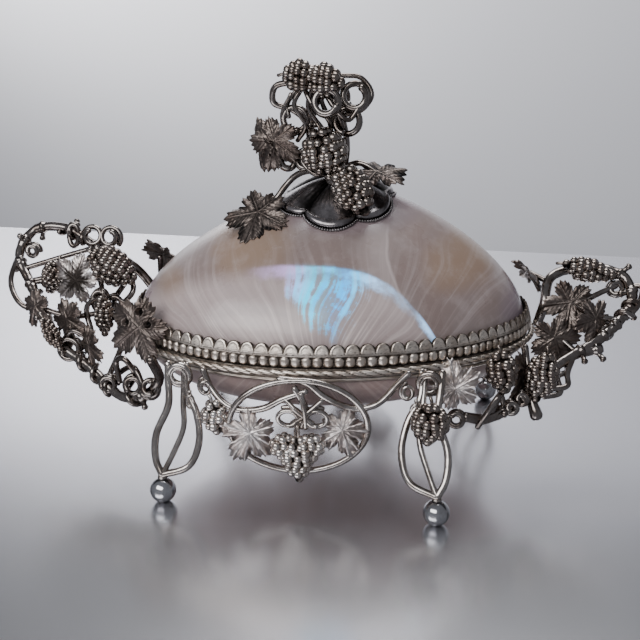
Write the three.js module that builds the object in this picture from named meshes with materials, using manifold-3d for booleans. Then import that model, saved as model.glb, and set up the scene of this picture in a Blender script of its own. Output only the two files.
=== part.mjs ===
// Shell box: two pearl shell valves in silver mounts of vine, leaves and grapes.
// Millimetres, +Z up, the long axis along X, the front towards -Y.
import * as THREE from 'three';
import { ParametricGeometry } from 'three/addons/geometries/ParametricGeometry.js';
import { mergeVertices } from 'three/addons/utils/BufferGeometryUtils.js';
import Module from 'manifold-3d';

const wasm = await Module();
wasm.setup();

// Clearance cut between two pieces that touch, and the one left where a piece is seated on another
const TOUCH_GAP = 0.3;
const SEAT_GAP = 0.4;

// Plan of the shell: an oval, wider at its left end and a little sheared
const SHELL_LENGTH = 140;
const SHELL_DEPTH = 96;
const SHELL_EGG = 0.1;
const SHELL_SHEAR = 0.06;
const SHELL_WALL = 2;

// The lid's peak sits off the middle of the plan
const PEAK_ALONG = 5.5;
const PEAK_BACK = 4;

// Heights above the ground
const SEAM_HEIGHT = 45.8;
const DOME_RISE = 47.5;
const BOWL_DROP = 23.8;

// Bands that hold the two valves
const RIM_LIP = 1.2;
const LID_BAND_HEIGHT = 8.2;
const LID_BEAD_HEIGHT = 3.4;
const LID_LEDGE = 2.7;
const SCALLOP_DEPTH = 1.6;
const SCALLOPS = 24;
const BOWL_BAND_HEIGHT = 4.8;
const BOWL_LEDGE = 2.9;
const ROPE_RADIUS = 1.1;

// Legs and feet
const FOOT_RADIUS = 4.3;
const FOOT_FLAT = 1.1;
const LEG_WIRE = 1;
const LEG_RING = 3.4;
const LEG_BOW = 10.4;
const LEG_SPLAY = 24;

// Vine work
const BRANCH_WIRE = 1.5;
const TENDRIL_WIRE = 0.9;
const VINE_LOOP = 4.2;
const WIRE_SIDES = 4;
const TENDRIL_SIDES = 3;
const HANDLE_REACH = 54;
const SWAG_HOOP_WIDTH = 45;
const SWAG_HOOP_HEIGHT = 32;
const FINIAL_HEIGHT = 38.5;
const CUP_RADIUS = 18.5;
const CUP_LOBE = 2;
const CUP_RISE = 3;
const CUP_EDGE = 1.4;
const LEAF_THICKNESS = 1.4;

// Facets round the shell and its plain bands
const RIM_FACETS = 28;

// Colours read from the object
const nacre = new THREE.MeshStandardMaterial({ color: 0xb9a9a6, roughness: 0.25, metalness: 0.1 });
const silver = new THREE.MeshStandardMaterial({ color: 0x6f655f, roughness: 0.4, metalness: 0.9 });
const brightSilver = new THREE.MeshStandardMaterial({ color: 0xa39a96, roughness: 0.4, metalness: 0.9 });
const polishedSilver = new THREE.MeshStandardMaterial({ color: 0x8a8886, roughness: 0.2, metalness: 1 });

const vec = (x, y, z) => new THREE.Vector3(x, y, z);
const rad = THREE.MathUtils.degToRad;

// Turn a closed three.js geometry into a solid that can be joined and cut
function solid(geometry) {
  const bare = geometry.index ? geometry.toNonIndexed() : geometry.clone();
  bare.deleteAttribute('normal');
  bare.deleteAttribute('uv');
  const merged = mergeVertices(bare, 1e-4);
  const corners = [];
  for (let i = 0; i < merged.index.count; i += 3) {
    const [a, b, c] = [0, 1, 2].map((k) => merged.index.getX(i + k));
    if (a !== b && b !== c && c !== a) corners.push(a, b, c);
  }
  const body = (order) => new wasm.Manifold(new wasm.Mesh({
    numProp: 3,
    vertProperties: new Float32Array(merged.attributes.position.array),
    triVerts: new Uint32Array(order),
  }));
  const first = body(corners);
  return first.volume() > 0 ? first : body(corners.reverse());
}

function joined(solids) {
  return solids.reduce((sum, next) => sum.add(next));
}

// Plan outline at an angle, moved out by a distance along its normal; -90 degrees is the front
function rimPoint(angle, out, z) {
  const half = SHELL_LENGTH / 2;
  const c = Math.cos(angle);
  const s = Math.sin(angle);
  const x = half * c;
  const y = (SHELL_DEPTH / 2) * s * (1 - SHELL_EGG * c) + SHELL_SHEAR * x;
  const dx = -half * s;
  const dy = (SHELL_DEPTH / 2) * (c - SHELL_EGG * (c * c - s * s)) + SHELL_SHEAR * dx;
  const length = Math.hypot(dx, dy);
  return vec(x + (dy / length) * out, y - (dx / length) * out, z);
}

// Point beside the rim at a share of the half length, side -1 at the front and 1 at the back
function besideRim(side, share, out, z) {
  return rimPoint(side * Math.acos(share), out, z);
}

// Rise of the peaked dome over its base at a share of the plan radius, as a share of its full rise
function domeShare(radius) {
  const crown = 0.12;
  const blunt = Math.sqrt(radius * radius * (1 - crown * crown) + crown * crown);
  return (1 - Math.min(1, blunt) ** 1.25) ** 0.58;
}

const domeBase = SEAM_HEIGHT + LID_BEAD_HEIGHT;
const domeTop = domeBase + DOME_RISE * domeShare(0);

// Height of the lid's outside over a place in plan
function domeHeight(x, y) {
  const reach = 1 - (RIM_LIP + SEAT_GAP) / (SHELL_DEPTH / 2);
  let share = 0;
  for (let i = 0; i < 12; i += 1) {
    const fromPeakX = x - PEAK_ALONG * (1 - share);
    const fromPeakY = y - PEAK_BACK * (1 - share) - SHELL_SHEAR * fromPeakX;
    const along = fromPeakX / (SHELL_LENGTH / 2);
    share = Math.min(1, Math.hypot(along, fromPeakY / ((SHELL_DEPTH / 2) * (1 - SHELL_EGG * along))) / reach);
  }
  return domeBase + DOME_RISE * domeShare(share);
}

// Closed wall between an outer and an inner bowl or dome; height(share, wall) gives each
function valve(stacks, peak, height, grow) {
  const point = (around, through, target) => {
    const outer = through <= 0.5;
    const share = Math.sin((outer ? through : 1 - through) * Math.PI);
    const inset = RIM_LIP + SEAT_GAP + (outer ? -grow : SHELL_WALL + grow);
    const edge = rimPoint(around * 2 * Math.PI, -inset, 0);
    target.lerpVectors(peak, edge, share);
    target.z = height(share, outer ? -grow : SHELL_WALL + grow);
  };
  return solid(new ParametricGeometry(point, RIM_FACETS, 2 * stacks));
}

function lidShell(grow) {
  const height = (share, wall) => domeBase - grow + (DOME_RISE - wall + grow) * domeShare(share);
  return valve(5, vec(PEAK_ALONG, PEAK_BACK, 0), height, grow);
}

const collarBase = SEAM_HEIGHT - SEAT_GAP - BOWL_BAND_HEIGHT / 2;
const bowlTop = collarBase - SEAT_GAP;

function bowlShell(grow) {
  const height = (share, wall) => bowlTop + grow - (BOWL_DROP - wall + grow) * Math.sqrt(1 - share * share);
  return valve(4, vec(0, 0, 0), height, grow);
}

// Ring round the rim with a section of [out, height, scallop] corners
function band(section, stations, grow) {
  const middle = section.reduce((sum, [out, z]) => [sum[0] + out, sum[1] + z], [0, 0])
    .map((value) => value / section.length);
  const point = (around, through, target) => {
    const [out, z, scallop] = section[Math.round(through * section.length) % section.length];
    const dip = Math.round(around * stations) % 2 ? scallop : 0;
    const away = [out + Math.sign(out - middle[0]) * grow, z - dip + Math.sign(z - middle[1]) * grow];
    target.copy(rimPoint(around * 2 * Math.PI, ...away));
  };
  return solid(new ParametricGeometry(point, stations, section.length));
}

// Lid band: a ledge under the shell's edge and a face that leans in to a scalloped edge above
function lidRim(grow) {
  const ledgeTop = domeBase - SEAT_GAP;
  const section = [
    [-RIM_LIP - LID_LEDGE, SEAM_HEIGHT, 0],
    [RIM_LIP, SEAM_HEIGHT, 0],
    [0, SEAM_HEIGHT + LID_BAND_HEIGHT, SCALLOP_DEPTH],
    [-RIM_LIP, ledgeTop, 0],
    [-RIM_LIP - LID_LEDGE, ledgeTop, 0],
  ];
  return band(section, 2 * SCALLOPS, grow);
}

// Bowl band: a collar that the lid sits on, with a lip down outside the bowl
function bowlRim(grow) {
  const top = SEAM_HEIGHT - SEAT_GAP;
  const section = [
    [-RIM_LIP - BOWL_LEDGE, top, 0],
    [-RIM_LIP - BOWL_LEDGE, collarBase, 0],
    [-RIM_LIP, collarBase, 0],
    [-RIM_LIP, top - BOWL_BAND_HEIGHT, 0],
    [0, top - BOWL_BAND_HEIGHT, 0],
    [0, top, 0],
  ];
  return band(section, RIM_FACETS, grow);
}

const ropeOut = ROPE_RADIUS + SEAT_GAP;
const ropeHeight = SEAM_HEIGHT - SEAT_GAP - ROPE_RADIUS;
const outsideRope = ropeOut + ROPE_RADIUS + SEAT_GAP;

function rope(grow) {
  const radius = ROPE_RADIUS;
  const section = [[radius, 0], [0, radius], [-radius, 0], [0, -radius]]
    .map(([out, z]) => [ropeOut + out, ropeHeight + z, 0]);
  return band(section, RIM_FACETS, grow);
}

// Round wire along a smooth curve through a few points
function wire(points, radius, steps, grow) {
  const section = new THREE.Shape();
  const sides = radius < LEG_WIRE ? TENDRIL_SIDES : WIRE_SIDES;
  for (let i = 0; i < sides; i += 1) {
    const a = (i / sides) * 2 * Math.PI;
    const move = i === 0 ? 'moveTo' : 'lineTo';
    section[move]((radius + grow) * Math.cos(a), (radius + grow) * Math.sin(a));
  }
  const extrudePath = new THREE.CatmullRomCurve3(points, false, 'centripetal');
  return solid(new THREE.ExtrudeGeometry(section, { steps, extrudePath, bevelEnabled: false }));
}

// Closed wire ring that faces a way given by azimuth and elevation, stretched along its own axes
function ring({ at, radius, wide = 1, high = 1, facing = 0, tilt = 0, thick, steps = 7 }, grow) {
  const loop = new THREE.TorusGeometry(1, 0.5, thick < LEG_WIRE ? TENDRIL_SIDES : WIRE_SIDES, steps);
  const position = loop.attributes.position;
  for (let i = 0; i < position.count; i += 1) {
    const p = vec(0, 0, 0).fromBufferAttribute(position, i);
    const flat = Math.hypot(p.x, p.y);
    const out = (flat - 1) * 2 * (thick + grow);
    const [c, s] = [p.x / flat, p.y / flat];
    position.setXYZ(i, c * (radius * wide + out), s * (radius * high + out), p.z * 2 * (thick + grow));
  }
  return placed(solid(loop), { at, facing, tilt, turn: 0 });
}

// Set a solid made in its own X right, Y up, Z outward frame into the object
function placed(body, { at, facing, tilt, turn }) {
  const a = rad(facing);
  const e = rad(tilt);
  const outward = vec(Math.sin(a) * Math.cos(e), -Math.cos(a) * Math.cos(e), Math.sin(e));
  const right = vec(Math.cos(a), Math.sin(a), 0);
  const up = vec(0, 0, 0).crossVectors(outward, right);
  const matrix = new THREE.Matrix4().makeBasis(right, up, outward)
    .multiply(new THREE.Matrix4().makeRotationZ(rad(turn))).setPosition(at);
  return body.transform(matrix.elements);
}

// Vine leaf: five pointed lobes round a heart-shaped blade, its tips drooping or lifted by curl
function leaf({ at, size, facing = 0, tilt = 0, turn = 0, curl = -0.12 }, grow) {
  const lobes = 5;
  const blade = (around, through, target) => {
    const a = around * 2 * Math.PI;
    const edge = through === 0.5;
    const notch = 1 - 0.32 * (0.5 - 0.5 * Math.cos(lobes * a));
    const heart = 0.84 + 0.16 * Math.cos(a);
    const share = edge ? notch * heart : 0;
    const reach = edge ? share * size + grow : 0;
    const half = LEAF_THICKNESS / 2 + 2 * grow;
    const face = 1 - 2 * through;
    target.set(reach * Math.sin(-a), reach * Math.cos(a), curl * share * reach + face * half);
  };
  return placed(solid(new ParametricGeometry(blade, 4 * lobes, 2)), { at, facing, tilt, turn });
}

// Bunch of grapes: a tapering body whose berries stand out in staggered rows
function grapes({ at, length, width, facing = 0, tilt = 0, turn = 0, depth = 0.8 }, grow) {
  const [around, rows] = [6, 5];
  const berries = (u, v, target) => {
    const a = u * 2 * Math.PI;
    const row = Math.round(v * rows);
    const swell = Math.sin(Math.PI * v ** 0.85) ** 0.7;
    const bump = (Math.round(u * around) + row) % 2 ? 1.1 : 0.88;
    const r = swell * bump * (width / 2) + (row > 0 && row < rows ? grow : 0);
    const drop = length * (0.5 - v) + (row === 0 ? grow : 0) - (row === rows ? grow : 0);
    target.set(r * Math.cos(a), drop, r * Math.sin(a) * depth);
  };
  return placed(solid(new ParametricGeometry(berries, around, rows)), { at, facing, tilt, turn });
}

// A leaf or bunch whose sizes are shares of the free form that carries it
function atScale({ size = 0, length = 0, width = 0, ...place }, whole) {
  return { ...place, size: size * whole, length: length * whole, width: width * whole };
}

// Six-lobed cup that lies on the lid's peak under the finial
function finialCup(grow) {
  const lobes = 6;
  const dome = (around, through, target) => {
    const a = around * 2 * Math.PI;
    const upper = through < 0.5;
    const share = upper ? through / 0.5 : (1 - through) / 0.5;
    const reach = share * (CUP_RADIUS + CUP_LOBE * Math.abs(Math.sin((lobes * a) / 2)) * share + grow);
    const x = finialFoot.x + reach * Math.cos(a);
    const y = finialFoot.y + reach * Math.sin(a);
    const crown = CUP_EDGE + CUP_RISE * (1 - share ** 3);
    const hollow = SEAT_GAP + (CUP_RISE / 2) * (1 - share ** 3);
    target.set(x, y, domeHeight(x, y) + (upper ? crown + grow : hollow));
  };
  return solid(new ParametricGeometry(dome, 4 * lobes, 6));
}

const finialFoot = vec(PEAK_ALONG - 3.5, PEAK_BACK - 4, domeTop + CUP_RISE + CUP_EDGE);

// Finial points are shares of its height from the top of the cup
function inFinial(x, y, z) {
  return vec(x, y, z).multiplyScalar(FINIAL_HEIGHT).add(finialFoot);
}

// Handle points are shares of the left handle's reach from that end of the rim
function fromEnd(side, along, across, up) {
  const end = rimPoint(side < 0 ? Math.PI : 0, 0, SEAM_HEIGHT);
  return end.add(vec(side * along, across, up).multiplyScalar(HANDLE_REACH));
}

const group = new THREE.Group();

function addMesh(name, body, material) {
  const mesh = body.getMesh();
  const geometry = new THREE.BufferGeometry();
  geometry.setAttribute('position', new THREE.BufferAttribute(new Float32Array(mesh.vertProperties), 3));
  geometry.setIndex(new THREE.BufferAttribute(new Uint32Array(mesh.triVerts), 1));
  const piece = new THREE.Mesh(geometry, material);
  piece.name = name;
  group.add(piece);
}

// Pieces already made, a touching gap larger, with their boxes; a new piece is cut clear of them
const taken = [];

// The piece's one body, without crumbs that a neighbour's groove has cut off
function largest(body) {
  return body.decompose().reduce((best, next) => (next.volume() > best.volume() ? next : best));
}

function addPiece(name, make, material) {
  let body = make(0);
  const box = body.boundingBox();
  for (const other of taken) {
    const apart = [0, 1, 2].some((k) => other.box.max[k] < box.min[k] || other.box.min[k] > box.max[k]);
    if (!apart) body = body.subtract(other.body);
  }
  addMesh(name, largest(body), material);
  const fat = make(TOUCH_GAP);
  taken.push({ body: fat, box: fat.boundingBox() });
}

function addShells() {
  addPiece('lid_shell', lidShell, nacre);
  addPiece('bowl_shell', bowlShell, nacre);
  addPiece('lid_rim', lidRim, silver);
  addPiece('bowl_rim', bowlRim, silver);
  addPiece('rope_edge', rope, silver);
}

// One leg: a ring at the rope and three bowed wires that meet on a ball foot.
// Bows are [share of the way down, share of the widest bow towards the middle of the box].
const LEG_BOWS = {
  outer: [[0, -0.43], [0.15, -0.34], [0.37, -0.19], [0.65, -0.42], [0.87, -0.29], [1, 0]],
  middle: [[0, 0.1], [0.34, 0.27], [0.56, 0.42], [0.8, 0.23], [1, 0]],
  inner: [[0, 0.19], [0.22, 0.31], [0.43, 0.76], [0.68, 1], [0.9, 0.81], [1, 0]],
};

const LEGS = [
  { name: 'front_left', side: -1, end: -1, top: 0.574, foot: 0.568, splay: 0.733 },
  { name: 'front_right', side: -1, end: 1, top: 0.52, foot: 0.478, splay: 1 },
  { name: 'back_left', side: 1, end: -1, top: 0.64, foot: 0.687, splay: 0.567 },
  { name: 'back_right', side: 1, end: 1, top: 0.7, foot: 0.734, splay: 0.375 },
];

// Point on a leg's middle line at a share of the way down from the rope to the ball
function legPoint({ side, end, top, foot, splay }, down) {
  const head = besideRim(side, end * top, outsideRope + LEG_WIRE + SEAT_GAP, ropeHeight);
  return head.lerp(besideRim(side, end * foot, splay * LEG_SPLAY, 2 * FOOT_RADIUS + LEG_WIRE), down);
}

function legWires(leg, grow) {
  const bows = Object.values(LEG_BOWS).map((bow) => {
    const inwards = (share) => vec(-leg.end * share * LEG_BOW, 0, 0);
    const points = bow.map(([down, share]) => legPoint(leg, down).add(inwards(share)));
    return wire(points, LEG_WIRE, 4, grow);
  });
  const hook = { at: legPoint(leg, 0.1), radius: LEG_RING, thick: LEG_WIRE, facing: leg.side < 0 ? 0 : 180 };
  return joined([...bows, ring(hook, grow)]);
}

// Ball foot with a small flat under it
function footBall({ side, end, foot, splay }, grow) {
  const radius = FOOT_RADIUS + grow;
  const low = Math.asin(Math.sqrt(1 - (FOOT_FLAT / FOOT_RADIUS) ** 2));
  const profile = [new THREE.Vector2(0, -radius * Math.sin(low))];
  const steps = 4;
  for (let i = 0; i <= steps; i += 1) {
    const a = -low + (i / steps) * (low + Math.PI / 2);
    profile.push(new THREE.Vector2(i === steps ? 0 : radius * Math.cos(a), radius * Math.sin(a)));
  }
  const ball = new THREE.LatheGeometry(profile, 8);
  ball.rotateX(Math.PI / 2);
  const at = besideRim(side, end * foot, splay * LEG_SPLAY, FOOT_RADIUS * Math.sin(low));
  ball.translate(at.x, at.y, at.z);
  return solid(ball);
}

function addLegs() {
  for (const leg of LEGS) {
    addPiece(`foot_${leg.name}`, (grow) => footBall(leg, grow), polishedSilver);
    addPiece(`leg_${leg.name}`, (grow) => legWires(leg, grow), silver);
  }
}

// Place on a swag: a share along the rim, a share of the hoop's height below the seam, and how far out
function onSwag(side, share, down, out = 0) {
  return besideRim(side, share, outsideRope + LEG_WIRE + out, SEAM_HEIGHT - down * SWAG_HOOP_HEIGHT);
}

const swagFacing = (side) => (side < 0 ? 7 : 180);

// Swag of wire between two legs: a hoop and two arched wires, with two small loops and a tie in front
function swagWire(side, grow) {
  const at = (...place) => onSwag(side, ...place);
  const facing = swagFacing(side);
  const high = SWAG_HOOP_HEIGHT / SWAG_HOOP_WIDTH;
  const width = SWAG_HOOP_WIDTH / 2;
  const hoop = { at: at(-0.035, 0.581, 0.5), radius: width, high, thick: LEG_WIRE, facing, steps: 17 };
  const left = [at(-0.47, 0.062), at(-0.43, 0.25, 0.5), at(-0.33, 0.406, 2.2), at(-0.2, 0.406, 1),
    at(-0.1, 0.281, 1), at(0, 0.188, 1)];
  const right = [at(-0.12, 0.075, 0.3), at(0, 0.106, 0.4), at(0.08, 0.25, 1), at(0.2, 0.375, 1),
    at(0.3, 0.328, 2.2), at(0.4, 0.125, 0.5), at(0.44, 0.05)];
  const wires = [ring(hoop, grow), wire(left, LEG_WIRE, 8, grow), wire(right, LEG_WIRE, 9, grow)];
  if (side < 0) {
    const tie = [at(-0.05, 0.156, 1), at(0, 0.375, 2), at(-0.02, 0.562, 2)];
    const radius = SWAG_HOOP_WIDTH / 11;
    const loops = [-0.075, 0.045]
      .map((share) => ring({ at: at(share, 0.469, 2), radius, thick: TENDRIL_WIRE, facing }, grow));
    wires.push(wire(tie, LEG_WIRE, 3, grow), ...loops);
  }
  return joined(wires);
}

function addSwag(side, name) {
  addPiece(`swag_${name}_wire`, (grow) => swagWire(side, grow), silver);
  const out = LEG_WIRE + 2.5;
  const at = (share, down, more) => onSwag(side, share, down, out + more);
  const add = (kind, make, shape, material) => {
    const whole = atScale({ facing: swagFacing(side), ...shape }, SWAG_HOOP_WIDTH);
    addPiece(`swag_${name}_${kind}`, (grow) => make(whole, grow), material);
  };
  add('grapes', grapes, { at: at(-0.035, 0.875, 0.3), length: 0.378, width: 0.378, depth: 0.55 }, silver);
  add('leaf_left', leaf, { at: at(-0.24, 0.641, 0.2), size: 0.21, tilt: 10, turn: 150 }, brightSilver);
  add('leaf_right', leaf, { at: at(0.155, 0.594, -1.4), size: 0.19, tilt: 10, turn: 200 }, brightSilver);
  add('small_grapes', grapes, { at: at(-0.4, 0.531, -0.5), length: 0.244, width: 0.2, turn: 12 }, silver);
}

function leftBranch(grow) {
  const at = (along, across, up) => fromEnd(-1, along, across, up);
  const branch = [
    rimPoint(rad(160), outsideRope + BRANCH_WIRE, ropeHeight), at(0.16, 0.36, 0.18), at(0.43, 0.34, 0.33),
    at(0.7, 0.42, 0.44), at(0.92, 0.4, 0.42), at(1, 0.28, 0.28), at(0.86, 0.12, 0.1), at(0.7, -0.05, -0.04),
    at(0.52, -0.22, -0.2), at(0.28, -0.33, -0.3), at(0, -0.5, -0.42), at(-0.18, -0.56, -0.38),
    at(-0.3, -0.6, -0.24), rimPoint(rad(-138), outsideRope + BRANCH_WIRE, ropeHeight - 2),
  ];
  const outerTendril = [at(1, 0.28, 0.28), at(1, 0.1, 0.12), at(0.88, -0.02, 0), at(0.7, -0.05, -0.04)];
  const innerStem = [at(0.93, 0.2, 0.19), at(0.64, 0.26, 0.28), at(0.45, 0.33, 0.33)];
  const lowTendril = [at(0.28, -0.33, -0.3), at(0.28, -0.27, -0.16), at(0.4, -0.26, -0.08),
    at(0.52, -0.22, -0.2)];
  const upperTwig = [at(0.2, 0.35, 0.22), at(0.26, 0.2, 0.26), at(0.46, 0.06, 0.17), at(0.68, 0.18, 0.15),
    at(0.87, 0.14, 0.12)];
  const lowerTwig = [rimPoint(rad(-160), outsideRope + LEG_WIRE, ropeHeight), at(0.22, -0.1, 0),
    at(0.46, -0.15, -0.02), at(0.7, -0.1, 0.02), at(0.78, 0.04, 0.03)];
  const backTwig = [rimPoint(rad(160), outsideRope + LEG_WIRE, ropeHeight), at(-0.02, 0.36, 0.28)];
  const rimTwig = [rimPoint(rad(-138), outsideRope + BRANCH_WIRE, ropeHeight - 2), at(-0.24, -0.64, 0),
    at(-0.21, -0.64, 0.13)];
  const loops = [
    { at: at(0.45, -0.24, -0.22), radius: VINE_LOOP, tilt: 15 },
    { at: at(0.42, 0.34, 0.39), radius: VINE_LOOP },
    { at: at(0.1, -0.46, -0.36), radius: 0.72 * VINE_LOOP, tilt: 15 },
  ].map((loop) => ring({ ...loop, thick: TENDRIL_WIRE }, grow));
  return joined([
    wire(branch, BRANCH_WIRE, 17, grow),
    wire(outerTendril, TENDRIL_WIRE, 5, grow),
    wire(innerStem, TENDRIL_WIRE, 3, grow),
    wire(lowTendril, TENDRIL_WIRE, 5, grow),
    wire(upperTwig, TENDRIL_WIRE, 7, grow),
    wire(lowerTwig, TENDRIL_WIRE, 6, grow),
    wire(backTwig, TENDRIL_WIRE, 2, grow),
    wire(rimTwig, TENDRIL_WIRE, 3, grow),
    ...loops,
  ]);
}

function rightBranch(grow) {
  const at = (along, across, up) => fromEnd(1, along, across, up);
  const branch = [
    rimPoint(rad(8), outsideRope + BRANCH_WIRE, ropeHeight), at(0.1, 0.1, 0.12), at(0.13, 0.22, 0.26),
    at(0.24, 0.28, 0.31), at(0.45, 0.3, 0.33), at(0.62, 0.24, 0.28), at(0.66, 0.12, 0.17), at(0.58, 0, 0.07),
    at(0.42, -0.12, -0.05), at(0.2, -0.26, -0.16), at(0.06, -0.4, -0.27), at(-0.1, -0.58, -0.34),
    at(-0.24, -0.68, -0.38), at(-0.36, -0.72, -0.36),
  ];
  const outerTendril = [at(0.64, 0.2, 0.24), at(0.72, 0.18, 0.25), at(0.7, 0.08, 0.16), at(0.62, 0.02, 0.08)];
  const lowTendril = [at(0.3, -0.2, -0.1), at(0.26, -0.3, -0.2), at(0.26, -0.36, -0.26),
    at(0.06, -0.4, -0.28)];
  const topTwig = [at(0.1, 0.12, 0.14), at(0.22, 0.17, 0.13), at(0.41, 0, 0.1), at(0.58, 0, 0.07)];
  const lowerTwig = [rimPoint(rad(-5), outsideRope + LEG_WIRE, ropeHeight), at(0.17, -0.09, -0.02),
    at(0.3, -0.17, -0.09)];
  const backTwig = [at(0.13, 0.2, 0.24), at(0, 0.27, 0.28)];
  const endTwig = [rimPoint(rad(-20), outsideRope + LEG_WIRE, ropeHeight), at(0.01, -0.39, -0.14),
    at(0.06, -0.4, -0.27)];
  const hanger = [rimPoint(rad(-32), outsideRope + LEG_WIRE, ropeHeight), at(-0.16, -0.58, -0.2),
    at(-0.12, -0.6, -0.34)];
  const stub = [at(0.3, -0.18, -0.11), at(0.46, -0.14, -0.08)];
  const ends = [
    { at: at(-0.41, -0.74, -0.37), radius: 0.62 * VINE_LOOP, tilt: 15 },
    { at: at(-0.02, -0.52, -0.28), radius: 0.52 * VINE_LOOP, tilt: 60 },
  ].map((loop) => ring({ ...loop, thick: TENDRIL_WIRE }, grow));
  return joined([
    wire(branch, BRANCH_WIRE, 17, grow),
    wire(outerTendril, TENDRIL_WIRE, 5, grow),
    wire(lowTendril, TENDRIL_WIRE, 7, grow),
    wire(hanger, TENDRIL_WIRE, 4, grow),
    wire(topTwig, TENDRIL_WIRE, 6, grow),
    wire(lowerTwig, TENDRIL_WIRE, 4, grow),
    wire(backTwig, TENDRIL_WIRE, 1, grow),
    wire(endTwig, TENDRIL_WIRE, 4, grow),
    wire(stub, BRANCH_WIRE, 2, grow),
    ...ends,
  ]);
}

function addHandles() {
  const left = (along, across, up) => fromEnd(-1, along, across, up);
  const right = (along, across, up) => fromEnd(1, along, across, up);
  const frontRight = LEGS.find((leg) => leg.name === 'front_right');
  const legFront = legPoint(frontRight, 0.36).add(vec(0, -HANDLE_REACH / 9, 0));
  const legLeaf = besideRim(-1, 0.63, 2 * outsideRope, SEAM_HEIGHT - LID_BAND_HEIGHT);
  addPiece('handle_left_branch', leftBranch, silver);
  addPiece('handle_right_branch', rightBranch, silver);
  const leaves = {
    handle_left_leaf_rim: { at: left(-0.21, -0.65, 0.13), size: 0.222, facing: -15, tilt: 10, turn: 130 },
    handle_left_leaf_top: { at: left(0.48, 0.05, 0.17), size: 0.178, facing: -10, tilt: 10, turn: 60 },
    handle_left_leaf_outer: { at: left(0.72, -0.122, 0.03), size: 0.14, facing: -30, tilt: 10, turn: 160 },
    handle_left_leaf_middle: { at: left(0.46, -0.2, -0.02), size: 0.176, facing: -42, tilt: 5, turn: 180 },
    handle_left_leaf_low: { at: left(0.26, -0.34, -0.14), size: 0.157, facing: -55, tilt: 0, turn: 180 },
    handle_left_leaf_back: { at: left(-0.04, 0.38, 0.29), size: 0.204, facing: 170, tilt: 20, turn: 200 },
    handle_right_leaf_top: { at: right(0.27, 0.1, 0.14), size: 0.204, facing: 5, tilt: 25, turn: 170 },
    handle_right_leaf_low: { at: right(0.17, -0.14, -0.02), size: 0.167, facing: 10, tilt: 5, turn: 200 },
    handle_right_leaf_outer: { at: right(0.42, -0.06, 0.1), size: 0.157, facing: 40, tilt: 15, turn: 170 },
    handle_right_leaf_end: { at: right(-0.02, -0.4, -0.145), size: 0.204, facing: 75, tilt: 5, turn: 185 },
    handle_right_leaf_back: { at: right(-0.02, 0.29, 0.28), size: 0.185, facing: 160, tilt: 25, turn: 160 },
    leg_leaf_front_right: { at: legLeaf, size: 0.165, tilt: 12, turn: 20 },
  };
  const bunches = {
    handle_left_grapes_top: { at: left(0.24, 0.12, 0.26), length: 0.352, width: 0.259, turn: 60 },
    handle_left_grapes_outer: { at: left(0.7, 0.16, 0.15), length: 0.241, width: 0.185, turn: -20 },
    handle_left_grapes_middle: { at: left(0.22, -0.16, 0), length: 0.28, width: 0.14, facing: -20 },
    handle_left_grapes_low: { at: left(0.54, -0.285, -0.12), length: 0.28, width: 0.13, turn: 35 },
    handle_right_grapes_top: { at: right(0.36, 0.21, 0.3), length: 0.352, width: 0.148, turn: 80 },
    handle_right_grapes_low: { at: right(0.09, -0.49, -0.16), length: 0.315, width: 0.204, turn: -8 },
    handle_right_grapes_rim: { at: right(-0.15, -0.628, -0.09), length: 0.259, width: 0.194, turn: 10 },
    leg_grapes_front_right: { at: legFront, length: 0.241, width: 0.222 },
  };
  for (const [name, shape] of Object.entries(leaves)) {
    addPiece(name, (grow) => leaf(atScale(shape, HANDLE_REACH), grow), brightSilver);
  }
  for (const [name, shape] of Object.entries(bunches)) {
    addPiece(name, (grow) => grapes(atScale(shape, HANDLE_REACH), grow), silver);
  }
}

function finialVine(grow) {
  const trunk = [inFinial(0, -0.02, -0.02), inFinial(-0.1, -0.03, 0.12), inFinial(-0.24, -0.04, 0.34),
    inFinial(-0.2, -0.06, 0.6), inFinial(-0.12, -0.06, 0.84)];
  const stem = [inFinial(0.05, 0.02, -0.02), inFinial(0.08, 0.02, 0.24), inFinial(0.04, -0.02, 0.5),
    inFinial(-0.06, -0.04, 0.84)];
  const sideStem = [inFinial(0.02, 0, 0.02), inFinial(0.2, -0.02, 0.1), inFinial(0.44, -0.04, -0.02)];
  const leftStem = [inFinial(-0.1, -0.03, 0.1), inFinial(-0.3, -0.04, 0.12), inFinial(-0.5, -0.11, 0.26),
    inFinial(-0.66, -0.03, 0.3)];
  const lowStem = [inFinial(-0.05, -0.03, 0.04), inFinial(-0.34, -0.14, 0), inFinial(-0.58, -0.3, -0.3)];
  const crownLoop = [inFinial(-0.23, -0.04, 0.44), inFinial(-0.4, -0.06, 0.56), inFinial(-0.56, -0.08, 0.62),
    inFinial(-0.54, -0.1, 0.76), inFinial(-0.36, -0.1, 0.8), inFinial(-0.14, -0.07, 0.8)];
  const loops = [
    { at: inFinial(-0.08, -0.1, 0.71), radius: VINE_LOOP, facing: 0 },
    { at: inFinial(0.16, -0.08, 0.69), radius: 1.17 * VINE_LOOP, facing: 10 },
    { at: inFinial(0.1, -0.1, 0.48), radius: VINE_LOOP, facing: -10 },
    { at: inFinial(-0.37, -0.08, 0.48), radius: VINE_LOOP, facing: 0 },
    { at: inFinial(-0.28, -0.05, 0.12), radius: 0.76 * VINE_LOOP, facing: 0 },
  ].map((loop) => ring({ ...loop, thick: TENDRIL_WIRE, tilt: 10 }, grow));
  return joined([
    wire(trunk, BRANCH_WIRE, 6, grow),
    wire(stem, TENDRIL_WIRE * 1.1, 5, grow),
    wire(sideStem, TENDRIL_WIRE * 1.1, 4, grow),
    wire(leftStem, TENDRIL_WIRE * 1.1, 5, grow),
    wire(lowStem, TENDRIL_WIRE * 1.1, 4, grow),
    wire(crownLoop, TENDRIL_WIRE * 1.1, 7, grow),
    ...loops,
  ]);
}

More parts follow.
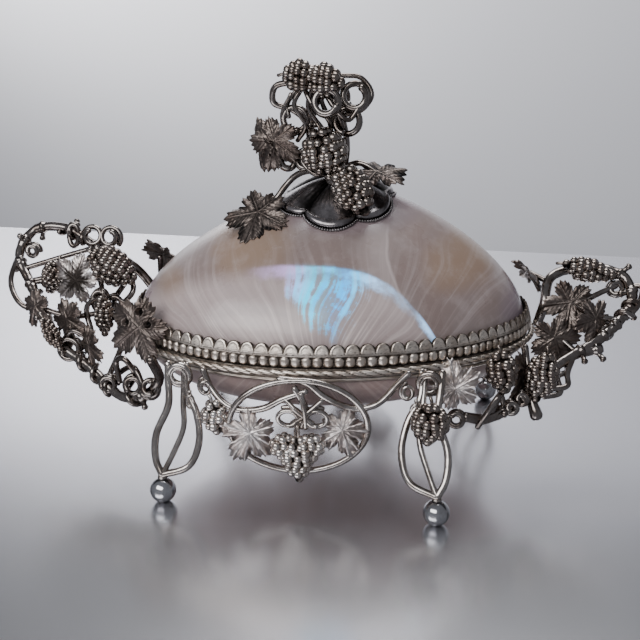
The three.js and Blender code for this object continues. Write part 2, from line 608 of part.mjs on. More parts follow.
function addFinial() {
  addPiece('finial_cup', finialCup, polishedSilver);
  addPiece('finial_vine', finialVine, silver);
  const spot = inFinial(-0.65, -0.364, 0);
  const low = vec(spot.x, spot.y, domeHeight(spot.x, spot.y) + 2.4);
  const leaves = {
    finial_leaf_low: { at: low, size: 0.3, facing: -15, tilt: 36, turn: 165, curl: -0.1 },
    finial_leaf_middle: { at: inFinial(-0.53, -0.16, 0.3), size: 0.26, facing: -10, tilt: 5, turn: 150 },
    finial_leaf_back: { at: inFinial(-0.7, -0.02, 0.28), size: 0.26, facing: -60, tilt: 0, turn: 180 },
    finial_leaf_right: { at: inFinial(0.36, -0.08, 0.03), size: 0.273, facing: 10, tilt: 78, turn: -60 },
  };
  const bunches = {
    finial_grapes_top: { at: inFinial(-0.18, -0.19, 0.83), length: 0.494, width: 0.299, turn: 84 },
    finial_grapes_middle: { at: inFinial(-0.08, -0.2, 0.2), length: 0.442, width: 0.416, turn: 15 },
    finial_grapes_low: { at: inFinial(0.19, -0.34, -0.08), length: 0.494, width: 0.338, turn: 35, tilt: 30 },
  };
  for (const [name, shape] of Object.entries(leaves)) {
    addPiece(name, (grow) => leaf(atScale(shape, FINIAL_HEIGHT), grow), silver);
  }
  for (const [name, shape] of Object.entries(bunches)) {
    addPiece(name, (grow) => grapes(atScale(shape, FINIAL_HEIGHT), grow), silver);
  }
}

addShells();
addLegs();
addSwag(-1, 'front');
addSwag(1, 'back');
addHandles();
addFinial();

// The object's origin is the bottom centre of its box
const box = new THREE.Box3().setFromObject(group);
group.position.set(-(box.min.x + box.max.x) / 2, -(box.min.y + box.max.y) / 2, -box.min.z);

export default group;
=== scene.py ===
"""Shell box: two pearl valves in silver mounts, with vine handles, swags, legs and a finial.

Lengths in this file are millimetres in a frame whose origin lies under the middle of the shell,
with X along the shell, Y to the back and Z up. Skin.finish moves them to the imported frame, in metres.
"""

from __future__ import annotations

import logging
import math
from dataclasses import dataclass
from enum import Enum
from typing import Callable, Iterable, Sequence

import bpy
import numpy as np
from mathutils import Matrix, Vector

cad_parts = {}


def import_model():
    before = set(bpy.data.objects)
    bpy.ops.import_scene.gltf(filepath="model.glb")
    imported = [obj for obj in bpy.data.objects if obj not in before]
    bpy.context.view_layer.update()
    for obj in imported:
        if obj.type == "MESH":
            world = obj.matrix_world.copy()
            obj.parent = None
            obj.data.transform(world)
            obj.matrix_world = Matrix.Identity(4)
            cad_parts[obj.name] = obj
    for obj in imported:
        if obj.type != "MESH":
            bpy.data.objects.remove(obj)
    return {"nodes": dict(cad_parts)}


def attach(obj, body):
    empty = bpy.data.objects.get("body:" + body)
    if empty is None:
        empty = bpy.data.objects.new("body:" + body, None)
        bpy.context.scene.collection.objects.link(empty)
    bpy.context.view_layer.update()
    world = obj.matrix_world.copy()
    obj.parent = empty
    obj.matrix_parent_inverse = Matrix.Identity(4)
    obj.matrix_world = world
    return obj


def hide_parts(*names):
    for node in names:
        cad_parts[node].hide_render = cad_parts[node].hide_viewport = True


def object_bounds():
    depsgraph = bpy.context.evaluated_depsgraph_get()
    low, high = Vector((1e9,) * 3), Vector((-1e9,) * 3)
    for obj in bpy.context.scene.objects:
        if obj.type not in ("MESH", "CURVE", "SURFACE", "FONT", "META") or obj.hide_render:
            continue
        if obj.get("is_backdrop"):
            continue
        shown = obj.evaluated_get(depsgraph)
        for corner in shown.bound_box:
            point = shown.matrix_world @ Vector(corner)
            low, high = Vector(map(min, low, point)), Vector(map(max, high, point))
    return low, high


LOG = logging.getLogger("shell_box")
BODY = "root"
ORIGIN_SHIFT = np.array([7.7015, 2.3014, 0.0])
TAU = 2 * math.pi

Point = Sequence[float]
Colour = tuple[float, float, float, float]
Finishes = dict[str, bpy.types.Material]
Value = "Term | Sequence[float] | float | str"
Inputs = dict[str | int, Value]
VECTOR, FLOAT, COLOUR = "NodeSocketVector", "NodeSocketFloat", "NodeSocketColor"
GROWTH = ("Streaks", "Clouds", "Flecks", "X", "Z", "Front")


class Slot(Enum):
    """The record's material slots."""

    PEARL = "mother_of_pearl"
    OXIDISED = "oxidised_silver"
    FROSTED = "frosted_silver"
    POLISHED = "polished_silver"


@dataclass(frozen=True)
class ShellPlan:
    """Plan outline, dome and bowl of the shell, and the bands at its seam."""

    length: float = 140.0
    depth: float = 96.0
    egg: float = 0.1
    shear: float = 0.06
    wall: float = 2.0
    peak: tuple[float, float] = (5.5, 4.0)
    seam: float = 45.8
    dome_rise: float = 47.5
    bowl_drop: float = 23.8
    lip: float = 1.2
    seat: float = 0.4
    bead_height: float = 3.4
    band_height: float = 8.2
    ledge: float = 2.7
    collar_height: float = 4.8
    collar_ledge: float = 2.9
    rope_radius: float = 1.1

    @property
    def dome_base(self) -> float:
        """Height of the lid shell's lower edge."""
        return self.seam + self.bead_height

    @property
    def inset(self) -> float:
        """How far the shells stand inside the plan outline."""
        return self.lip + self.seat

    @property
    def rope_height(self) -> float:
        """Height of the twisted wire's middle."""
        return self.seam - self.seat - self.rope_radius

    @property
    def rope_out(self) -> float:
        """How far the twisted wire's middle stands outside the plan outline."""
        return self.rope_radius + self.seat

    @property
    def outside_rope(self) -> float:
        """How far out a wire clears the twisted one."""
        return self.rope_out + self.rope_radius + self.seat

    def rim(self, angle: np.ndarray | float, out: np.ndarray | float, z: np.ndarray | float) -> np.ndarray:
        """Points on the plan outline moved out along its normal.

        The outline is an oval whose half depth shrinks towards +X by the egg share and whose Y
        leans with X by the shear.

        Args:
            angle: Angle round the oval in radians; the front is at minus a quarter turn.
            out: Distance outwards.
            z: Height.

        Returns:
            Points, one row each.
        """
        angle, out, z = np.broadcast_arrays(np.asarray(angle, float), out, z)
        half, deep = self.length / 2, self.depth / 2
        c, s = np.cos(angle), np.sin(angle)
        x = half * c
        y = deep * s * (1 - self.egg * c) + self.shear * x
        dx = -half * s
        dy = deep * (c - self.egg * (c * c - s * s)) + self.shear * dx
        length = np.hypot(dx, dy)
        return np.stack([x + dy / length * out, y - dx / length * out, z], axis=-1)

    def beside(self, side: int, share: float, out: float, z: float) -> np.ndarray:
        """One point beside the rim at a share of the half length, at the front (-1) or back (1)."""
        return self.rim(side * math.acos(share), out, z)

    @staticmethod
    def dome_share(radius: np.ndarray) -> np.ndarray:
        """Rise of the peaked dome at a share of the plan radius: a blunted power curve."""
        crown = 0.12
        blunt = np.sqrt(radius * radius * (1 - crown * crown) + crown * crown)
        return (1 - np.minimum(1, blunt) ** 1.25) ** 0.58

    def dome_height(self, x: np.ndarray, y: np.ndarray) -> np.ndarray:
        """Height of the lid's outside over places in plan, by repeated correction of the ring share."""
        reach = 1 - self.inset / (self.depth / 2)
        share = np.zeros_like(np.asarray(x, float))
        for _ in range(12):
            from_x = x - self.peak[0] * (1 - share)
            from_y = y - self.peak[1] * (1 - share) - self.shear * from_x
            along = from_x / (self.length / 2)
            across = from_y / ((self.depth / 2) * (1 - self.egg * along))
            share = np.minimum(1, np.hypot(along, across) / reach)
        return self.dome_base + self.dome_rise * self.dome_share(share)


PLAN = ShellPlan()
HANDLE_REACH = 54.0
FINIAL_HEIGHT = 38.5
SWAG_WIDTH = 45.0
SWAG_HEIGHT = 32.0
CUP_RISE = 3.0
CUP_EDGE = 1.4
DOME_TOP = float(PLAN.dome_base + PLAN.dome_rise * PLAN.dome_share(np.array(0.0)))
FINIAL_FOOT = np.array([PLAN.peak[0] - 3.5, PLAN.peak[1] - 4, DOME_TOP + CUP_RISE + CUP_EDGE])


def unit(vectors: np.ndarray) -> np.ndarray:
    """Vectors along the last axis, brought to length one."""
    return vectors / (np.linalg.norm(vectors, axis=-1, keepdims=True) + 1e-12)


def ring_angles(count: int) -> np.ndarray:
    """Evenly spaced angles round a full turn."""
    return np.arange(count) / count * TAU


def walked_length(path: np.ndarray) -> np.ndarray:
    """Length walked along a path up to each of its points."""
    return np.concatenate([[0], np.cumsum(np.linalg.norm(np.diff(path, axis=0), axis=1))])


def read_rows(place: np.ndarray, known: np.ndarray, rows: np.ndarray) -> np.ndarray:
    """Rows of three values, read in straight lines between their known places."""
    return np.stack([np.interp(place, known, rows[:, k]) for k in range(3)], axis=1)


def grid_triangles(rows: int, cols: int, wrap_rows: bool) -> np.ndarray:
    """Triangles of a grid of points numbered row by row, each row a closed ring.

    Args:
        rows: Number of rows of points.
        cols: Number of points in a row.
        wrap_rows: Joins the last row to the first.

    Returns:
        Vertex numbers, three a triangle.
    """
    i = np.arange(rows if wrap_rows else rows - 1)[:, None]
    j = np.arange(cols)[None, :]
    i2, j2 = (i + 1) % rows, (j + 1) % cols
    a, b, c, d = (np.broadcast_to(v, (i.size, j.size)).ravel() for v in (
        i * cols + j, i * cols + j2, i2 * cols + j2, i2 * cols + j))
    return np.concatenate([np.stack([a, b, c], 1), np.stack([a, c, d], 1)])


def smooth_path(points: Sequence[Point], count: int) -> np.ndarray:
    """Evenly spaced points on a centripetal Catmull-Rom curve through the given ones.

    Each span is a cubic whose end slopes come from the square roots of the distances between the
    points round it; the curve is then walked by its own length.

    Args:
        points: Points that the curve passes through.
        count: Number of points to give back.

    Returns:
        Points, one row each.
    """
    p = np.asarray(points, float)
    p = np.vstack([2 * p[0] - p[1], p, 2 * p[-1] - p[-2]])
    x0, x1, x2, x3 = p[:-3, None], p[1:-2, None], p[2:-1, None], p[3:, None]
    gap = np.sqrt(np.linalg.norm(np.diff(p, axis=0), axis=1))[:, None, None] + 1e-9
    d0, d1, d2 = gap[:-2], gap[1:-1], gap[2:]
    t1 = ((x1 - x0) / d0 - (x2 - x0) / (d0 + d1) + (x2 - x1) / d1) * d1
    t2 = ((x2 - x1) / d1 - (x3 - x1) / (d1 + d2) + (x3 - x2) / d2) * d1
    t = np.linspace(0, 1, 24, endpoint=False)[None, :, None]
    dense = x1 + t1 * t + (3 * (x2 - x1) - 2 * t1 - t2) * t**2 + (2 * (x1 - x2) + t1 + t2) * t**3
    dense = np.vstack([dense.reshape(-1, 3), p[-2]])
    walked = walked_length(dense)
    return read_rows(np.linspace(0, walked[-1], count), walked, dense)


def path_frames(path: np.ndarray, closed: bool) -> tuple[np.ndarray, np.ndarray, np.ndarray]:
    """Tangent, side and lift of a path, measured from the plane that fits the path best.

    Args:
        path: Points along the path.
        closed: The last point leads back to the first.

    Returns:
        Three arrays of unit vectors.
    """
    if closed:
        tangent = np.roll(path, -1, axis=0) - np.roll(path, 1, axis=0)
    else:
        tangent = np.gradient(path, axis=0)
    tangent = unit(tangent)
    spread = path - path.mean(axis=0)
    axes = np.linalg.eigh(spread.T @ spread)[1]
    lift = unit(axes[:, 0] - tangent * (tangent @ axes[:, 0])[:, None])
    return tangent, np.cross(lift, tangent), lift


def welded(points: np.ndarray, triangles: np.ndarray) -> tuple[np.ndarray, np.ndarray]:
    """Merges doubled points of a closed surface, drops flat triangles and turns faces outwards.

    Args:
        points: Points, one row each.
        triangles: Vertex numbers, three a triangle.

    Returns:
        Numbers of the points to keep, and the triangles between those.
    """
    _, first, inverse = np.unique(np.round(points, 4), axis=0, return_index=True, return_inverse=True)
    tris = inverse.reshape(-1)[triangles]
    a, b, c = tris.T
    tris = tris[(a != b) & (b != c) & (c != a)]
    corner = points[first][tris] - points[first].mean(axis=0)
    volume = np.einsum("ij,ij->i", corner[:, 0], np.cross(corner[:, 1], corner[:, 2])).sum()
    return first, tris[:, ::-1] if volume < 0 else tris


@dataclass(frozen=True)
class Pose:
    """Where a flat ornament sits: its middle, and the way it faces."""

    at: tuple[float, float, float]
    facing: float = 0.0
    tilt: float = 0.0
    turn: float = 0.0

    def place(self, local: np.ndarray) -> np.ndarray:
        """Moves points from the ornament's own X right, Y up, Z outward frame.

        Args:
            local: Points in the ornament's frame.

        Returns:
            Points in the box's frame.
        """
        a, e, t = (math.radians(v) for v in (self.facing, self.tilt, self.turn))
        outward = np.array([math.sin(a) * math.cos(e), -math.cos(a) * math.cos(e), math.sin(e)])
        right = np.array([math.cos(a), math.sin(a), 0.0])
        up = np.cross(outward, right)
        x = local[..., 0] * math.cos(t) - local[..., 1] * math.sin(t)
        y = local[..., 0] * math.sin(t) + local[..., 1] * math.cos(t)
        return np.asarray(self.at) + x[..., None] * right + y[..., None] * up + local[..., 2:] * outward


class Skin:
    """Closed surfaces gathered into the mesh of one piece, each vertex with a recess value from
    0, where hands polish the silver, to 1, where it stays black. On some leaves a raised base
    recess also carries painted shade."""

    def __init__(self) -> None:
        """Starts with no surface."""
        self._points: list[np.ndarray] = []
        self._triangles: list[np.ndarray] = []
        self._recess: list[np.ndarray] = []
        self._count = 0

    def keep(self, points: np.ndarray, triangles: np.ndarray, recess: np.ndarray) -> None:
        """Keeps a finished surface.

        Args:
            points: Points, one row each.
            triangles: Vertex numbers.
            recess: One value a point.
        """
        self._points.append(points)
        self._triangles.append(triangles + self._count)
        self._recess.append(recess)
        self._count += len(points)

    def grid(self, points: np.ndarray, recess: np.ndarray | float = 0.0, wrap_rows: bool = False) -> None:
        """Adds a grid surface whose rows are closed rings.

        Args:
            points: Points by row and place in the row.
            recess: One value, or one a point.
            wrap_rows: Joins the last row to the first; otherwise both shrink to a point.
        """
        flat = points.reshape(-1, 3)
        first, tris = welded(flat, grid_triangles(*points.shape[:2], wrap_rows))
        self.keep(flat[first], tris, np.broadcast_to(recess, points.shape[:-1]).ravel()[first])

    def tube(self, path: np.ndarray, radius: np.ndarray | float, sides: int = 10, closed: bool = False,
             recess: float = 0.0) -> None:
        """Adds a round wire: circles of the given radius square to the path, with rounded ends.

        Args:
            path: Points along its middle.
            radius: One value, or one a point.
            sides: Points round the wire.
            closed: The wire is a ring.
            recess: Recess value of the whole wire.
        """
        _, side, lift = path_frames(path, closed)
        r = np.broadcast_to(radius, len(path))
        if not closed:
            first, last = unit(path[1] - path[0]) * r[0], unit(path[-1] - path[-2]) * r[-1]
            path = np.vstack([path[0] - first * 0.7, path[0] - first * 0.5, path,
                              path[-1] + last * 0.5, path[-1] + last * 0.7])
            rows = np.clip(np.arange(-2, len(side) + 2), 0, len(side) - 1)
            side, lift = side[rows], lift[rows]
            r = np.concatenate([[0, r[0] * 0.72], r, [r[-1] * 0.72, 0]])
        a = ring_angles(sides)[None, :, None]
        ring = side[:, None] * np.cos(a) + lift[:, None] * np.sin(a)
        self.grid(path[:, None] + ring * r[:, None, None], recess, wrap_rows=closed)

    def balls(self, centres: np.ndarray, radius: np.ndarray | float, outward: np.ndarray,
              around: int = 10, rows: int = 6) -> None:
        """Adds one small ball at each centre; the side that faces inwards stays dark.

        Args:
            centres: One row a ball.
            radius: One value, or one a ball.
            outward: Unit vectors that point out of the bunch, one a ball.
            around: Points round each ball.
            rows: Rows of faces from pole to pole.
        """
        u, v = ring_angles(around), np.linspace(0, math.pi, rows + 1)[:, None]
        x, y, z = np.sin(v) * np.cos(u), np.sin(v) * np.sin(u), np.cos(v) + 0 * u
        ball = np.stack([x, y, z], axis=-1).reshape(-1, 3)
        first, tris = welded(ball, grid_triangles(rows + 1, around, False))
        ball = ball[first]
        points = centres[:, None] + ball * np.broadcast_to(radius, len(centres))[:, None, None]
        steps = np.arange(len(centres))[:, None, None] * len(ball)
        dark = np.clip(0.38 - 0.75 * np.einsum("ik,jk->ij", outward, ball), 0, 1)
        self.keep(points.reshape(-1, 3), (tris + steps).reshape(-1, 3), dark.ravel())

    def finish(self, name: str, material: bpy.types.Material, slot: Slot, *nodes: str) -> bpy.types.Object:
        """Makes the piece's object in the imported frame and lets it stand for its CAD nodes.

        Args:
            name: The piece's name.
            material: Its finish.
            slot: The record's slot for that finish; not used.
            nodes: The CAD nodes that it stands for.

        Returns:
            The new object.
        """
        points = (np.concatenate(self._points) + ORIGIN_SHIFT) / 1000
        tris = np.concatenate(self._triangles)
        mesh = bpy.data.meshes.new(name)
        mesh.vertices.add(len(points))
        mesh.vertices.foreach_set("co", points.astype(np.float32).ravel())
        mesh.loops.add(tris.size)
        mesh.loops.foreach_set("vertex_index", tris.astype(np.int32).ravel())
        mesh.polygons.add(len(tris))
        mesh.polygons.foreach_set("loop_start", np.arange(0, tris.size, 3, dtype=np.int32))
        mesh.polygons.foreach_set("use_smooth", np.ones(len(tris), bool))
        mesh.update(calc_edges=True)
        shade = mesh.attributes.new("recess", "FLOAT", "POINT")
        shade.data.foreach_set("value", np.concatenate(self._recess).astype(np.float32))
        mesh.materials.append(material)
        piece = bpy.data.objects.new(name, mesh)
        bpy.context.scene.collection.objects.link(piece)
        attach(piece, BODY)
        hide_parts(*nodes)
        LOG.info("%s: %d triangles", name, len(tris))
        return piece


class Term:
    """A value in a shader tree; arithmetic signs on it lay Math nodes on its board."""

    def __init__(self, board: NodeBoard, socket: bpy.types.NodeSocket) -> None:
        """Keeps the board and the output socket that gives the value."""
        self.board, self.socket = board, socket

    def __add__(self, other: Value) -> Term:
        """Sum of both."""
        return self.board.math("ADD", self, other)

    def __sub__(self, other: Value) -> Term:
        """Difference of both."""
        return self.board.math("SUBTRACT", self, other)

    def __rsub__(self, other: Value) -> Term:
        """A plain value less this one."""
        return self.board.math("SUBTRACT", other, self)

    def __mul__(self, other: Value) -> Term:
        """Product of both."""
        return self.board.math("MULTIPLY", self, other)

    def __truediv__(self, other: Value) -> Term:
        """This value divided by the other."""
        return self.board.math("DIVIDE", self, other)

    def __pow__(self, other: Value) -> Term:
        """This value to the power of the other."""
        return self.board.math("POWER", self, other)


class NodeBoard:
    """Small helper that lays and links shader nodes in one tree."""

    def __init__(self, tree: bpy.types.NodeTree) -> None:
        """Keeps the tree that nodes go into."""
        self.tree = tree

    def feed(self, node: bpy.types.Node, inputs: Inputs) -> None:
        """Links terms to a node's inputs, and sets plain values on them.

        Args:
            node: The node.
            inputs: Term or plain value by the input's name or number.
        """
        for key, value in inputs.items():
            if isinstance(value, Term):
                self.tree.links.new(value.socket, node.inputs[key])
            else:
                node.inputs[key].default_value = value

    def add(self, kind: str, inputs: Inputs | None = None, **settings: object) -> bpy.types.Node:
        """Adds a node.

        Args:
            kind: The node's type name.
            inputs: Terms or values for its inputs.
            settings: Attributes to set on the node first.

        Returns:
            The node.
        """
        node = self.tree.nodes.new(kind)
        for key, value in settings.items():
            setattr(node, key, value)
        self.feed(node, inputs or {})
        return node

    def outputs(self, kind: str, inputs: Inputs | None = None, **settings: object) -> dict[str, Term]:
        """Adds a node like add, and gives its outputs by name."""
        return {out.name: Term(self, out) for out in self.add(kind, inputs, **settings).outputs}

    def math(self, operation: str, a: Value, b: Value = 0.0, clamp: bool = False) -> Term:
        """Result of a Math node on one or two values."""
        node = self.add("ShaderNodeMath", {0: a, 1: b}, operation=operation, use_clamp=clamp)
        return Term(self, node.outputs[0])

    def mix(self, share: Value, a: Value, b: Value) -> Term:
        """Colour that goes from a to b with share."""
        return Term(self, self.add("ShaderNodeMix", {0: share, 6: a, 7: b}, data_type="RGBA").outputs[2])

    def ramp(self, value: Value, low: float, high: float, start: float = 0.0, end: float = 1.0) -> Term:
        """Value remapped smoothly from low..high to start..end and kept inside it."""
        return Term(self, self.add("ShaderNodeMapRange", {0: value, 1: low, 2: high, 3: start, 4: end},
                                   interpolation_type="SMOOTHSTEP", clamp=True).outputs[0])

    def noise(self, vector: Value, scale: float, detail: float = 3.0, rough: float = 0.5) -> Term:
        """Noise value over a vector."""
        return self.outputs("ShaderNodeTexNoise", {"Vector": vector, "Scale": scale, "Detail": detail,
                                                   "Roughness": rough})["Fac"]


def new_group(name: str, inputs: dict[str, str], outputs: Iterable[str], colours: Iterable[str] = ()
              ) -> tuple[NodeBoard, dict[str, Term], bpy.types.Node]:
    """Starts a shader node group with named sockets.

    Args:
        name: The group's name.
        inputs: Socket type by input name.
        outputs: Names of the outputs that are values.
        colours: Names of the outputs that are colours.

    Returns:
        The group's board, its inputs by name and its output node.
    """
    tree = bpy.data.node_groups.new(name, "ShaderNodeTree")
    for label, kind in inputs.items():
        tree.interface.new_socket(label, in_out="INPUT", socket_type=kind)
    for label, kind in [(label, COLOUR) for label in colours] + [(label, FLOAT) for label in outputs]:
        tree.interface.new_socket(label, in_out="OUTPUT", socket_type=kind)
    board = NodeBoard(tree)
    return board, board.outputs("NodeGroupInput"), board.add("NodeGroupOutput")


def tarnish_group() -> bpy.types.NodeTree:
    """Group that blends polished, tarnished and blackened silver.

    Black gathers where the recess value is high and where soft noise is low; brighter rubbed
    places follow fine noise. Roughness rises with the tarnish.

    Returns:
        The group, with outputs Colour, Roughness and Height.
    """
    inputs = {"Vector": VECTOR} | dict.fromkeys(("Recess", "Depth", "Polish", "Dull"), FLOAT)
    inputs |= dict.fromkeys(("Bright", "Warm", "Black"), COLOUR)
    board, at, sink = new_group("tarnish", inputs, ("Roughness", "Height"), ("Colour",))
    clouds = board.noise(at["Vector"], 140.0, 4.0, 0.6)
    fine = board.noise(at["Vector"], 900.0, 3.0, 0.6)
    body = board.mix(board.ramp(clouds, 0.38, 0.68), at["Bright"], at["Warm"])
    # Blackening from the recess: patina, and painted shade where a leaf's base recess is raised.
    patina_and_shade = board.ramp(at["Recess"] * at["Depth"] + (fine - 0.5) * 0.55, 0.12, 0.85)
    spread = board.math("ADD", (clouds - 0.5) * 0.3, patina_and_shade, clamp=True)
    rough = board.math("ADD", at["Polish"], spread * (at["Dull"] - at["Polish"]), clamp=True)
    board.feed(sink, {"Colour": board.mix(patina_and_shade, body, at["Black"]), "Roughness": rough,
                      "Height": fine + clouds * 0.8})
    return board.tree


def growth_group() -> bpy.types.NodeTree:
    """Group for the pearl shell's growth, read in millimetres from the front.

    Fine streaks fan out of a root point under the rim: noise is read on the angle at the root, and
    hardly on the distance. Broad clouds drift over them, and finer flecks break them up.

    Returns:
        The group, with outputs Streaks, Clouds, Flecks, X, Z and Front.
    """
    board, at, sink = new_group("growth", {"Vector": VECTOR, "Root": VECTOR}, GROWTH)
    place = board.outputs("ShaderNodeMapping", {"Vector": at["Vector"], "Scale": (1000, 1000, 1000),
                                                "Location": tuple(-ORIGIN_SHIFT)})["Vector"]
    x, y, z = board.outputs("ShaderNodeSeparateXYZ", {0: place}).values()
    root_x, _, root_z = board.outputs("ShaderNodeSeparateXYZ", {0: at["Root"]}).values()
    bend = (board.noise(place, 0.026, 1.0) - 0.5) * 0.5
    angle = board.math("ARCTAN2", x - root_x, z - root_z) + bend
    fan = board.outputs("ShaderNodeCombineXYZ", {0: angle * 30.0, 1: z * 0.02, 2: y * 0.01})["Vector"]
    board.feed(sink, {
        "Streaks": board.noise(fan, 1.0, 6.0, 0.6), "Clouds": board.noise(place, 0.035, 4.0, 0.55),
        "Flecks": board.noise(place, 0.16, 5.0, 0.65), "X": x, "Z": z, "Front": board.ramp(y, -2.0, -16.0)})
    return board.tree


def painted_light_group() -> bpy.types.NodeTree:
    """Group for painted light on the lid: a painted highlight along an arc, the painted reflection of a
    light below it, and a patch of painted iridescent sheen in that reflection.

    The arc is level on its left and falls with a high power of the distance to its right. The sheen
    patch lies between two edges that draw together as it goes down. Streaks break both of them up.

    Returns:
        The group, with outputs Arc, Reflection, SheenPool and Hue.
    """
    board, at, sink = new_group("arc", dict.fromkeys(GROWTH, FLOAT), ("Arc", "Under", "SheenPool", "Hue"))
    x, z, streaks, clouds, flecks = (at[key] for key in ("X", "Z", "Streaks", "Clouds", "Flecks"))
    run = board.math("MAXIMUM", x + 10.0, 0.0)
    left = board.math("MINIMUM", x + 6.0, 0.0)
    fall = (run / 48.6) ** 3.8 * 20.1 + left * left * 0.005
    over = z - (74.0 - fall) + (clouds - 0.5) * 3.0
    # Painted highlight: a thin band along the arc, the reflected edge of a light.
    band = board.ramp(over, 1.2, 0.0) * board.ramp(over + (flecks - 0.5) * 4.0, -3.4, -0.4)
    reach = board.ramp(x, -26.0, 6.0) * board.ramp(x, 44.0, 37.0)
    # Painted reflection of a light: the front of the lid below the arc.
    under = board.ramp(over, 2.0, -5.0) * at["Front"]
    # Painted iridescent sheen: a patch inside the painted reflection that narrows as it goes down.
    down = board.math("MAXIMUM", (73.0 - z) / 16.5, 0.0)
    inner = down ** 2.0 * 11.0 - 7.5
    outer = 19.0 - down ** 0.8 * 10.5
    wobble = (streaks + flecks - 1.0) * 9.0
    sheen_pool = board.ramp(x - inner + wobble, -2.0, 3.0) * board.ramp(outer - x + wobble, -4.0, 4.0)
    sheen_pool = sheen_pool * board.ramp(z + wobble, 52.5, 61.0) * under
    sheen_hue = (x + 8.0) / 27.0 + (streaks - 0.5) * 0.7 + (clouds - 0.5) * 0.6
    board.feed(sink, {"Arc": band * reach * at["Front"], "Under": under, "SheenPool": sheen_pool, "Hue": sheen_hue})
    return board.tree


def new_material(name: str) -> tuple[bpy.types.Material, NodeBoard, bpy.types.Node, Term]:
    """Starts a material.

    Args:
        name: Its name.

    Returns:
        The material, its board, its shader and the Object coordinates.
    """
    material = bpy.data.materials.new(name)
    material.use_nodes = True
    board = NodeBoard(material.node_tree)
    where = board.outputs("ShaderNodeTexCoord")["Object"]
    return material, board, material.node_tree.nodes["Principled BSDF"], where


@dataclass(frozen=True)
class Silver:
    """A silver finish: how bright it is where rubbed, how warm its tarnish is and how black its
    recesses are."""

    bright: Colour
    warm: Colour
    black: Colour = (0.012, 0.011, 0.011, 1)
    depth: float = 1.0
    polish: float = 0.22
    dull: float = 0.5
    bump: float = 0.1
    lift: float = 0.00015

    def build(self, name: str, tarnish: bpy.types.NodeTree) -> bpy.types.Material:
        """Makes the material.

        Args:
            name: Its name.
            tarnish: The tarnish group.

        Returns:
            The material.
        """
        material, board, shader, where = new_material(name)
        recess = board.outputs("ShaderNodeAttribute", attribute_name="recess")["Fac"]
        look = board.outputs("ShaderNodeGroup", {
            "Vector": where, "Recess": recess, "Bright": self.bright, "Warm": self.warm, "Black": self.black,
            "Depth": self.depth, "Polish": self.polish, "Dull": self.dull}, node_tree=tarnish)
        bump = board.outputs("ShaderNodeBump", {"Strength": self.bump, "Distance": self.lift,
                                                "Height": look["Height"]})
        board.feed(shader, {"Base Color": look["Colour"], "Roughness": look["Roughness"],
                            "Normal": bump["Normal"],
                            "Metallic": 1.0})
        return material


@dataclass(frozen=True)
class Patch:
    """A soft patch of another colour in the pearl: middle, reaches, colour and strength."""

    middle: tuple[float, float]
    reach: tuple[float, float]
    colour: Colour
    strength: float = 0.7

    def mask(self, board: NodeBoard, grown: dict[str, Term]) -> Term:
        """Mask of the patch: an oval in the front view, its edge moved by the clouds."""
        across = (grown["X"] - self.middle[0]) / self.reach[0]
        upward = (grown["Z"] - self.middle[1]) / self.reach[1]
        away = across * across + upward * upward + (grown["Clouds"] - 0.5) * 1.6
        return board.ramp(away, 1.1, 0.0) * self.strength


@dataclass(frozen=True)
class OldEdge:
    """A pale curved line left by an old edge of the shell: it bends away from its top as a parabola."""

    top: tuple[float, float]
    bend: float
    low: float
    strength: float

    def mask(self, board: NodeBoard, grown: dict[str, Term]) -> Term:
        """Mask of the old edge: a fine line with a soft pale side, faded at both ends."""
        down = board.math("MAXIMUM", self.top[1] - grown["Z"], 0.0)
        away = grown["X"] - (down * down * self.bend + self.top[0]) + (grown["Clouds"] - 0.5) * 5.0
        line = board.ramp(board.math("ABSOLUTE", away), 1.0, 0.0)
        side = board.ramp(away, -14.0, 0.0) * board.ramp(away, 0.5, 0.0)
        ends = board.ramp(grown["Z"], self.low, self.low + 6)
        ends = ends * board.ramp(grown["Z"], self.top[1] + 2, self.top[1] - 5)
        return board.math("MAXIMUM", line, side * 0.55) * ends * (grown["Front"] * self.strength)


